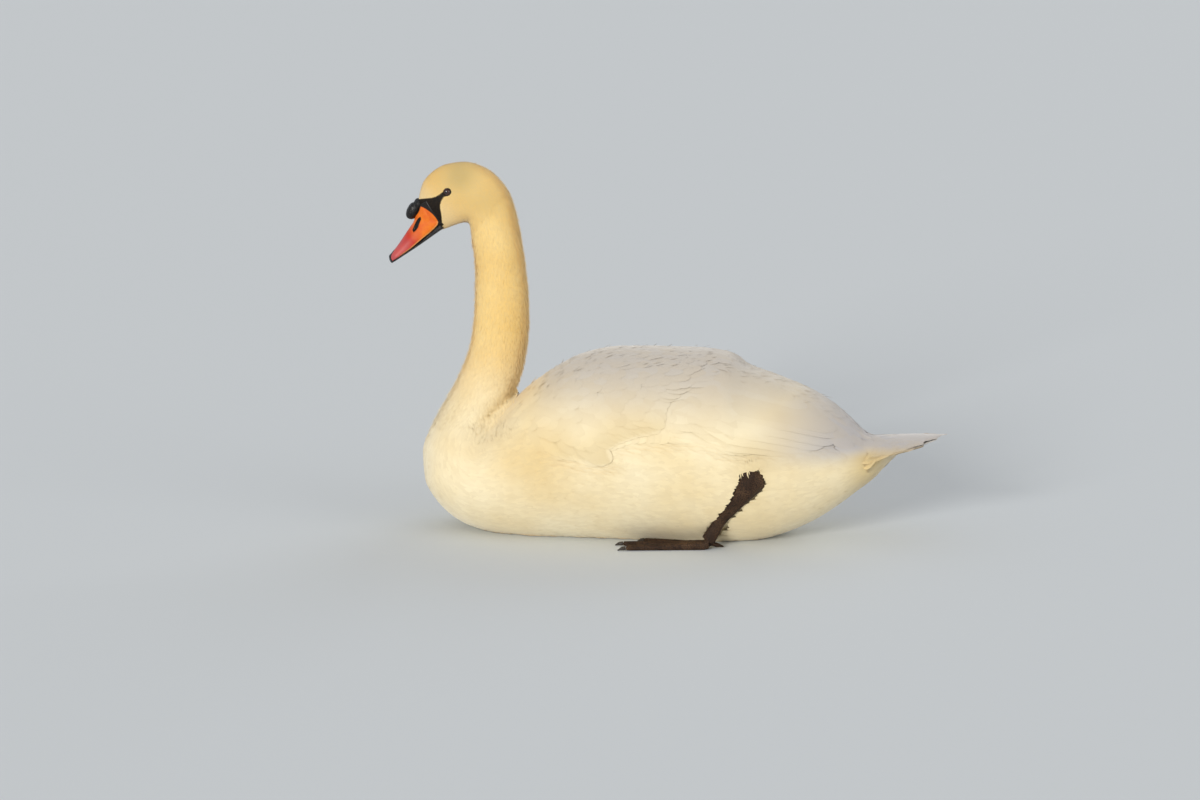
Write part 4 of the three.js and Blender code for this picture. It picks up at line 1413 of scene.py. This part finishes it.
def tail_feathers():
    """The wedge of the tail, its middle feathers uppermost and longest."""
    fan = np.arange(-TAIL_FEATHERS, TAIL_FEATHERS + 1)
    share = fan[np.argsort(-np.abs(fan), kind="stable")] / TAIL_FEATHERS
    tip_x = TAIL_END_X - TAIL_SWEEP * np.abs(share) ** 1.2 - jitter(len(share), 0, 5) * (share != 0)
    tip_y = TAIL_TIP_REACH * np.sign(share) * np.abs(share) ** 0.9
    root_y = TAIL_ROOT_REACH * share
    u = toward_tip(LONG_ROWS)
    x = TAIL_ROOT_X + (tip_x - TAIL_ROOT_X)[:, None] * u
    y = root_y[:, None] + (tip_y - root_y)[:, None] * u**0.9
    z = tail_top(x, y) - 1.6 + 1.6 * (1 - np.abs(share))[:, None] - 6 * (1 - u) ** 3
    point = np.stack([x, y, z], -1)
    steep = 2 * (tail_top(x, 0 * y) - tail_top(x, tail_half(x))) * y / tail_half(x) ** 2
    normal = unit(np.stack([np.zeros_like(x), steep, np.ones_like(x)], -1))
    half = 13.0 * (1 - 0.1 * np.abs(share)) * np.where(share == 0, 0.8, 1)
    roots = unwrap(np.full(len(share), 34.0), 0.5 * share)
    return vanes("tail_feathers", point, normal, roots, half, big_widths(u, 0.3),
                 np.zeros_like(x), camber=0.07, columns=BIG_COLUMNS)


def tail_coverts():
    """Soft feathers that close the body smoothly out to the tail, above, beside and below it."""
    r, t = spread(900, (0.0, 4.3), ALL_ROUND, 41, rear_frame)
    turn = np.abs(wrap(t))
    keep = ((r < 3.6) & (turn < 1.0)) | (turn > 1.62) | (r < 0.9)
    r, t, turn = r[keep], t[keep], turn[keep]
    length = 40 * jitter(len(r), 0.85, 1.2) * (1 - 0.3 * ease(1, 4, r))
    path_r, path_t, u = lay_long(r, t, length, jitter(len(r), -0.06, 0.06), 9, rear_frame, REAR_LAST - 0.3)
    point, normal, *_ = rear_frame(path_r, path_t)
    above = np.abs(wrap(path_t)) < TAIL_SIDE
    flat = np.where(above, -0.2 - 1.6 * (1 - ease(0.5, 2, path_r)), -0.9)
    height = flat + jitter(len(r), -0.3, 0.5)[:, None] - 4.0 * (1 - u) ** 1.4 * (1 - 0.6 * ease(2, 5, path_r))
    height = height - 2.6 * (1 - ease(0.3, 1.7, path_r)) * ~above
    beside_tail = (turn > TAIL_SIDE) & (turn < 1.95) & (r < 1.7)
    height = height - 3.2 * (1 - ease(0, 0.7, u)) * beside_tail[:, None]
    half = (7.5 - 2.2 * ease(1, 4.5, r)) * jitter(len(r), 0.85, 1.15)
    roots = unwrap(33.4 + 0.56 * r, t)
    widths = big_widths(u, 0.4) * (0.15 + 0.85 * ease(0, 0.5, u))
    return vanes("tail_coverts", point, normal, roots, half, widths, height, camber=0.1, columns=5)


def foot_fringe():
    """Thin feather tips that hang over the top of each leg."""
    count = LEG_TIPS
    u = np.linspace(0, 1, 7)
    things = []
    for sign in SIDES.values():
        x = np.linspace(150, 203, count) + jitter(count, -1.5, 1.5)
        top = 150 - 9 * ((x - 178) / 25) ** 2 + jitter(count, -2, 2)
        length = jitter(count, 12, 26)
        x = x[:, None] + (length * 0.18)[:, None] * u
        z = top[:, None] - length[:, None] * u
        s, t = find(x, z)
        point, normal, *_ = form_frame(s, t * sign)
        depth = leg_depth(point)
        height = np.maximum(np.where(depth < 20, -depth, -9) + 0.8, -1.0) - 1.6 * (1 - u)
        things.append(vanes(f"foot_fringe_{sign + 1}", point, normal, unwrap(s[:, 0], sign * t[:, 0]),
                            jitter(count, 1.0, 1.9), big_widths(u, 0.7), height, camber=0.2))
    return join("foot_fringe", *things)


# ------------ bill
# Outlines in along and height: the orange side, the nostril and the nail.
ORANGE = [(16.3, 11.5), (7.3, 7.4), (4.1, 4.2), (3.8, -0.8), (9.1, -0.5), (14.6, -1.5), (28, -0.9),
          (41.4, -0.1), (53.3, 1.6), (67.7, 3.4), (80.4, 4.4), (91, 6.2), (99, 8.4), (102.2, 11.2),
          (103.2, 14.6), (103.5, 20), (102.8, 26.3), (101, 32), (98.2, 38), (94.7, 42.9), (91.8, 46),
          (86.9, 42.6), (82.2, 39.8), (75.5, 37.8), (69.9, 37), (66, 37.5), (60, 60), (16, 30)]
NOSTRIL = [(82.4, 33), (81.4, 29.6), (75.5, 25.6), (69.8, 21.3), (64.4, 19.2), (59.4, 18.6), (59.4, 22.6),
           (65.2, 26.6), (70.8, 29.9), (76.8, 32.6)]
NAIL = [(-5, -10), (8.4, -10), (5.4, -1), (6, 4.2), (9, 8), (15.5, 11.4), (15.5, 30), (-5, 30)]
TIP_HEIGHT, CULMEN_BASE, KNOB_SEAT, BILL_WIDTH = 6.1, 36.5, 14, 36
TIP_ROUNDING = 16  # length over which the bill widens from its tip
NOSTRIL_DEPTH = 3.0
KNOB_VOXEL = 0.7
BUMP_SIZE, BUMP_HEIGHT = 6, 1.2
KNOB_RISE = np.radians(55)
# Middle in along and height, then half length, width and height.
KNOB_LOBES = [(75.6, 46.4, 15.6, 10.8, 10.2), (78.8, 48.4, 9.8, 10.4, 9.8), (89, 50.2, 10, 11, 9.2)]


def bill_half(along):
    """Half width of the bill."""
    tip = 1 - np.clip((along + 1) / TIP_ROUNDING, 0, 1)
    return BILL_WIDTH / 2 * np.sqrt(1 - tip**2) * (0.88 + 0.12 * ease(40, 100, along))


def culmen(along):
    """Height of the bill's ridge."""
    slope = (CULMEN_BASE - TIP_HEIGHT) * ease(-25, 92, along) ** 1.25
    return TIP_HEIGHT + slope + KNOB_SEAT * ease(62, 90, along)


def face_half(along, height):
    """Half width of the face there."""
    point = head_point(along, height)
    s, t = find(point[..., 0], point[..., 2])
    return np.abs(form(s, t)[..., 1])


def oval(low, high, up):
    """Heights round a section of the bill, which is widest near its lower edge."""
    widest = low + (high - low) * 0.22
    return widest + np.where(up > 0, high - widest, widest - low) * up


def bill_rings(rows, turns):
    """Rings of the upper bill in along, height and side, from its tip back over the front of the face."""
    up, out = np.cos(turns), np.sin(turns)
    rings = []
    for along in rows:
        low = -2.5 + 5 * ease(45, 106, along)
        tip = np.clip((along + 1) / 4, 0, 1)
        high = culmen(along) if along >= 3 else 2.5 + tip * (culmen(3) - 2.5)
        height = oval(low, high, up)
        arch = np.sign(out) * np.abs(out) ** (0.75 + 0.5 * ease(10, 80, along) * np.maximum(0, up))
        side = max(0.7, bill_half(along)) * np.abs(arch)
        if along > 80:
            face = face_half(max(along, 95.0), height) + 0.6
            side = side + (np.maximum(side, face) - side) * ease(82, 95, along) * ease(0.0, 0.35, np.abs(out))
            side = np.maximum(side - 2.4 * ease(104.2, 108, along), 0.5)
        rings.append(np.stack([np.full_like(height, along), height, side * np.sign(arch)], -1))
    return np.array(rings)


def upper_bill(material):
    """The upper bill, with the nostrils sunk into its sides."""
    rows = np.concatenate([np.linspace(-0.5, 12, 26, endpoint=False), np.linspace(12, 108, 156)])
    rings = bill_rings(rows, circle(160))
    along, height, side = np.moveaxis(rings, -1, 0)
    gap, in_nostril = inside(rings[..., :2], ORANGE), inside(rings[..., :2], NOSTRIL)
    beside_ridge = np.abs(side) > 3
    sunk = ease(-0.4, 1.6, in_nostril) * beside_ridge
    place = head_point(along, height, side)
    place[..., 1] -= np.sign(side) * NOSTRIL_DEPTH * sunk
    thing = tube_mesh("bill", place)
    nostril = ease(-0.8, 0.3, in_nostril) * beside_ridge
    below = (np.abs(side) < 0.75 * bill_half(along)) & (height < 6)
    orange = ease(-0.45, 0.45, gap) * (1 - np.maximum(sunk, nostril)) * (1 - below)
    rim = ease(2.4, 0.9, gap) * (height < 13) * ease(14, 30, along)
    pink = 1 - ease(24, 78, along + 0.1 * height)
    for name, share in (("black", 1 - orange), ("pink", pink), ("rim", rim)):
        add_value(thing, name, np.append(share, [share[0].mean(), share[-1].mean()]))
    return finish_piece(thing, material, "bill_orange", "bill_upper")


def bill_nail(material):
    """The black nail, standing a little off the bill's tip."""
    rings = bill_rings(np.linspace(0, 16, 60), circle(120))
    over = ease(-0.6, 0.6, inside(rings[..., :2], NAIL))
    place = head_point(*np.moveaxis(rings, -1, 0))
    out = unit(place - place.mean(1, keepdims=True))
    thing = tube_mesh("bill_tip_nail", place + out * (over * 0.6 - 0.4)[..., None])
    return finish_piece(thing, material, "bill_black", "bill_nail")


def lower_bill(material):
    """The lower bill, which shows as a thin black edge."""
    up, out = np.cos(circle(72)), np.sin(circle(72))
    rings = []
    for along in np.linspace(0.4, 102, 100):
        height = oval(-3.8 + 1.6 * ease(40, 106, along), 2 + 9 * ease(45, 106, along), up)
        side = (bill_half(along) - 1.3) * np.sign(out) * np.abs(out) ** 0.75
        rings.append(head_point(along, height, side))
    return finish_piece(tube_mesh("bill_below", rings), material, "bill_black", "bill_lower")


def knob_lobe(along, height, long, wide, high):
    """One rounded lobe with its three half sizes, leaning forward."""
    a, b = np.meshgrid(np.linspace(0, np.pi, 40), circle(64), indexing="ij")
    x, y, z = long * np.cos(a), wide * np.sin(a) * np.cos(b), high * np.sin(a) * np.sin(b)
    cos, sin = np.cos(KNOB_RISE), np.sin(KNOB_RISE)
    turned = np.stack([x * cos - z * sin, y, x * sin + z * cos], -1)
    return tube_mesh("lobe", head_point(along, height) + turned)


def bill_knob(material):
    """Lobes fused over the root of the bill."""
    knob = remesh(join("knob", *(knob_lobe(*lobe) for lobe in KNOB_LOBES)), KNOB_VOXEL, 12)
    texture = bpy.data.textures.new("knob_bumps", "CLOUDS")
    texture.noise_scale = BUMP_SIZE * MM
    bumps = knob.modifiers.new("bumps", "DISPLACE")
    bumps.texture = texture
    bumps.strength = BUMP_HEIGHT * MM
    bumps.mid_level = 0.55
    apply_modifiers(knob)
    return finish_piece(knob, material, "bill_black", "bill_knob")


# ------------ eyes and claws
def eyeball(side, material):
    """A ball that looks outward and a little forward, its clear front bulging."""
    sign = SIDES[side]
    a, b = np.meshgrid(np.linspace(0.001, np.pi - 0.001, 72), circle(72), indexing="ij")
    look = unit(np.array([-0.16, sign, 0.05]))
    across = unit(np.cross(look, (0, 0, 1)))
    up = np.cross(across, look)
    from_front = BALL_RADIUS * np.sin(a)
    bulge = 0.35 * ease(4.6, 2.0, from_front) * (a < 1)
    out = across * np.cos(b)[..., None] + up * np.sin(b)[..., None]
    rings = look * (np.cos(a) * (BALL_RADIUS + bulge))[..., None] + out * from_front[..., None]
    ball = tube_mesh(f"eyeball_{side}", EYE_CENTRE * (1, sign * np.sign(EYE_CENTRE[1]), 1) + rings)
    front = np.where(a < 1.5, from_front, 9)
    pupil, white = 1 - ease(2.0, 2.35, front), ease(4.7, 5.1, front)
    add_value(ball, "pupil", np.append(pupil, [1, 0]))
    add_value(ball, "white", np.append(white, [0, 1]))
    return finish_piece(ball, material, "eye", f"eye_{side}")


def claws(material):
    """The claws, their solids rounded."""
    for side in SIDES:
        for toe in ("outer", "middle", "inner"):
            horn = remesh(copy_node(f"claw_{side}_{toe}", f"nail_{side}_{toe}"), CLAW_VOXEL, 4)
            points = read_points(horn)
            points[:, 2] = np.maximum(points[:, 2], 0.0)
            move_points(horn, points)
            finish_piece(horn, material, "claw", f"claw_{side}_{toe}")


# ------------ the floor, the light and the camera
FLOOR_HALF = 40  # metres
CAMERA_PLACE = (1025.1, -7241.1, 1763.6)  # mm from the stations' zero
CAMERA_AZIMUTH, CAMERA_ELEVATION = np.radians(8.7), np.radians(12)
CAMERA_LENS, CAMERA_SENSOR = 144, 36
CAMERA_FAR = 200  # metres
# Each lamp's name, the way to it, its strength, its width in degrees and its colour.
LAMPS = [("key", (-0.36, -1.0, 0.34), 1.95, 16, (1.0, 0.97, 0.91)),
         ("side", (0.9, -0.45, 0.3), 0.45, 40, (1.0, 0.97, 0.92)),
         ("back", (0.5, 0.9, 0.45), 0.6, 40, (0.95, 0.975, 1.0))]


def floor_plane():
    """A pale floor, part of the stage and not of the swan."""
    n = new_material("floor", 0.9)
    n.set(Base_Color=srgb(214, 220, 226), Specular_IOR_Level=0.1)
    mesh = bpy.data.meshes.new("floor")
    corners = [(x * FLOOR_HALF, y * FLOOR_HALF, 0) for x, y in ((-1, -1), (1, -1), (1, 1), (-1, 1))]
    mesh.from_pydata(corners, [], [(0, 1, 2, 3)])
    mesh.materials.append(n.owner)
    floor = add_thing("floor", mesh)


def studio():
    """Soft light from all round. The camera sees a plain cool grey instead."""
    world = bpy.data.worlds.new("studio")
    bpy.context.scene.world = world
    n = Nodes(world)
    n.set("Background", Color=(1.0, 0.985, 0.96), Strength=0.5)
    seen = n.add("Background", {"Color": srgb(196, 204, 212)}).outputs[0]
    path = n.add("LightPath").outputs
    share = path["Is Camera Ray"]
    for ray in ("Is Glossy Ray", "Is Transmission Ray"):
        share = n.math("MAXIMUM", share, path[ray])
    light = n.tree.nodes["Background"].outputs[0]
    n.set("World Output", Surface=n.add("MixShader", {0: share, 1: light, 2: seen}).outputs[0])


def lamps():
    """Three suns."""
    for name, way, strength, width, colour in LAMPS:
        lamp = bpy.data.lights.new(name, "SUN")
        lamp.energy = strength
        lamp.angle = np.radians(width)
        lamp.color = colour
        add_thing(name, lamp).rotation_euler = Vector(way).to_track_quat("Z", "Y").to_euler()


def photo_camera():
    """The photo's view, from the swan's left side."""
    camera = bpy.data.cameras.new("camera")
    camera.lens, camera.sensor_width = CAMERA_LENS, CAMERA_SENSOR
    camera.clip_end = CAMERA_FAR
    level = np.cos(CAMERA_ELEVATION)
    back = Vector((np.sin(CAMERA_AZIMUTH) * level, -np.cos(CAMERA_AZIMUTH) * level, np.sin(CAMERA_ELEVATION)))
    thing = add_thing("camera", camera)
    thing.location = Vector(CAMERA_PLACE) * MM - Vector((MIDDLE_X * MM, 0, 0))
    thing.rotation_euler = back.to_track_quat("Z", "Y").to_euler()
    bpy.context.scene.camera = thing


# ------------ the swan
bpy.context.scene.view_settings.view_transform = "Standard"
floor_plane()
studio()
lamps()
photo_camera()

lids = [eyelids(sign) for sign in SIDES.values()]
skin = join("skin", body_skin(), tail_skin(), crease_skin(), *lids, legs())
finish_piece(skin, skin_material(), "body_plumage", *FLESH)

# What follows a name is the number of feathers, then the stations and turns between which they start.
plumage = plumage_material()
coat = [head_coat(), crease_coat(), neck_fringe(),
        neck_coat("coat_neck_upper", 8500, (6.0, 11.5), seed=5),
        neck_coat("coat_neck_lower", 8500, (11.5, 17.2), seed=6)]
for piece in coat:
    finish_piece(piece, plumage, "neck_plumage")
body = [body_coat("coat_breast", 5200, (16.6, 23.0), ALL_ROUND, seed=7),
        body_coat("coat_flank_left", 4600, (23.0, 33.0), (-np.pi, -0.2), seed=8),
        body_coat("coat_flank_right", 4600, (23.0, 33.0), (0.2, np.pi), seed=9),
        body_coat("coat_rump", 1500, (32.6, 34.4), ALL_ROUND, seed=10, length=26.0, half=4.4),
        mantle_coat(), back_fringe(), tail_feathers(), tail_coverts(), foot_fringe()]
for side, seed in (("left", 21), ("right", 31)):
    body.append(long_feathers(f"primaries_{side}", side, PRIMARY_ROOTS, PRIMARY_TIPS, half=9.0, first=-1.4,
                              step=0.1))
    body.append(secondary_coat(side, seed))
    body.append(long_feathers(f"tertials_{side}", side, LONG_ROOTS, LONG_TIPS, half=17.0, first=0.6,
                              step=0.08))
    body.append(scapular_coat(side, seed + 3))
for piece in body:
    finish_piece(piece, plumage, "body_plumage")

upper_bill(bill_material())
horn = horn_material()
bill_nail(horn)
lower_bill(horn)
bill_knob(horn)
wet = eye_material()
for side in SIDES:
    eyeball(side, wet)
claws(claw_material())
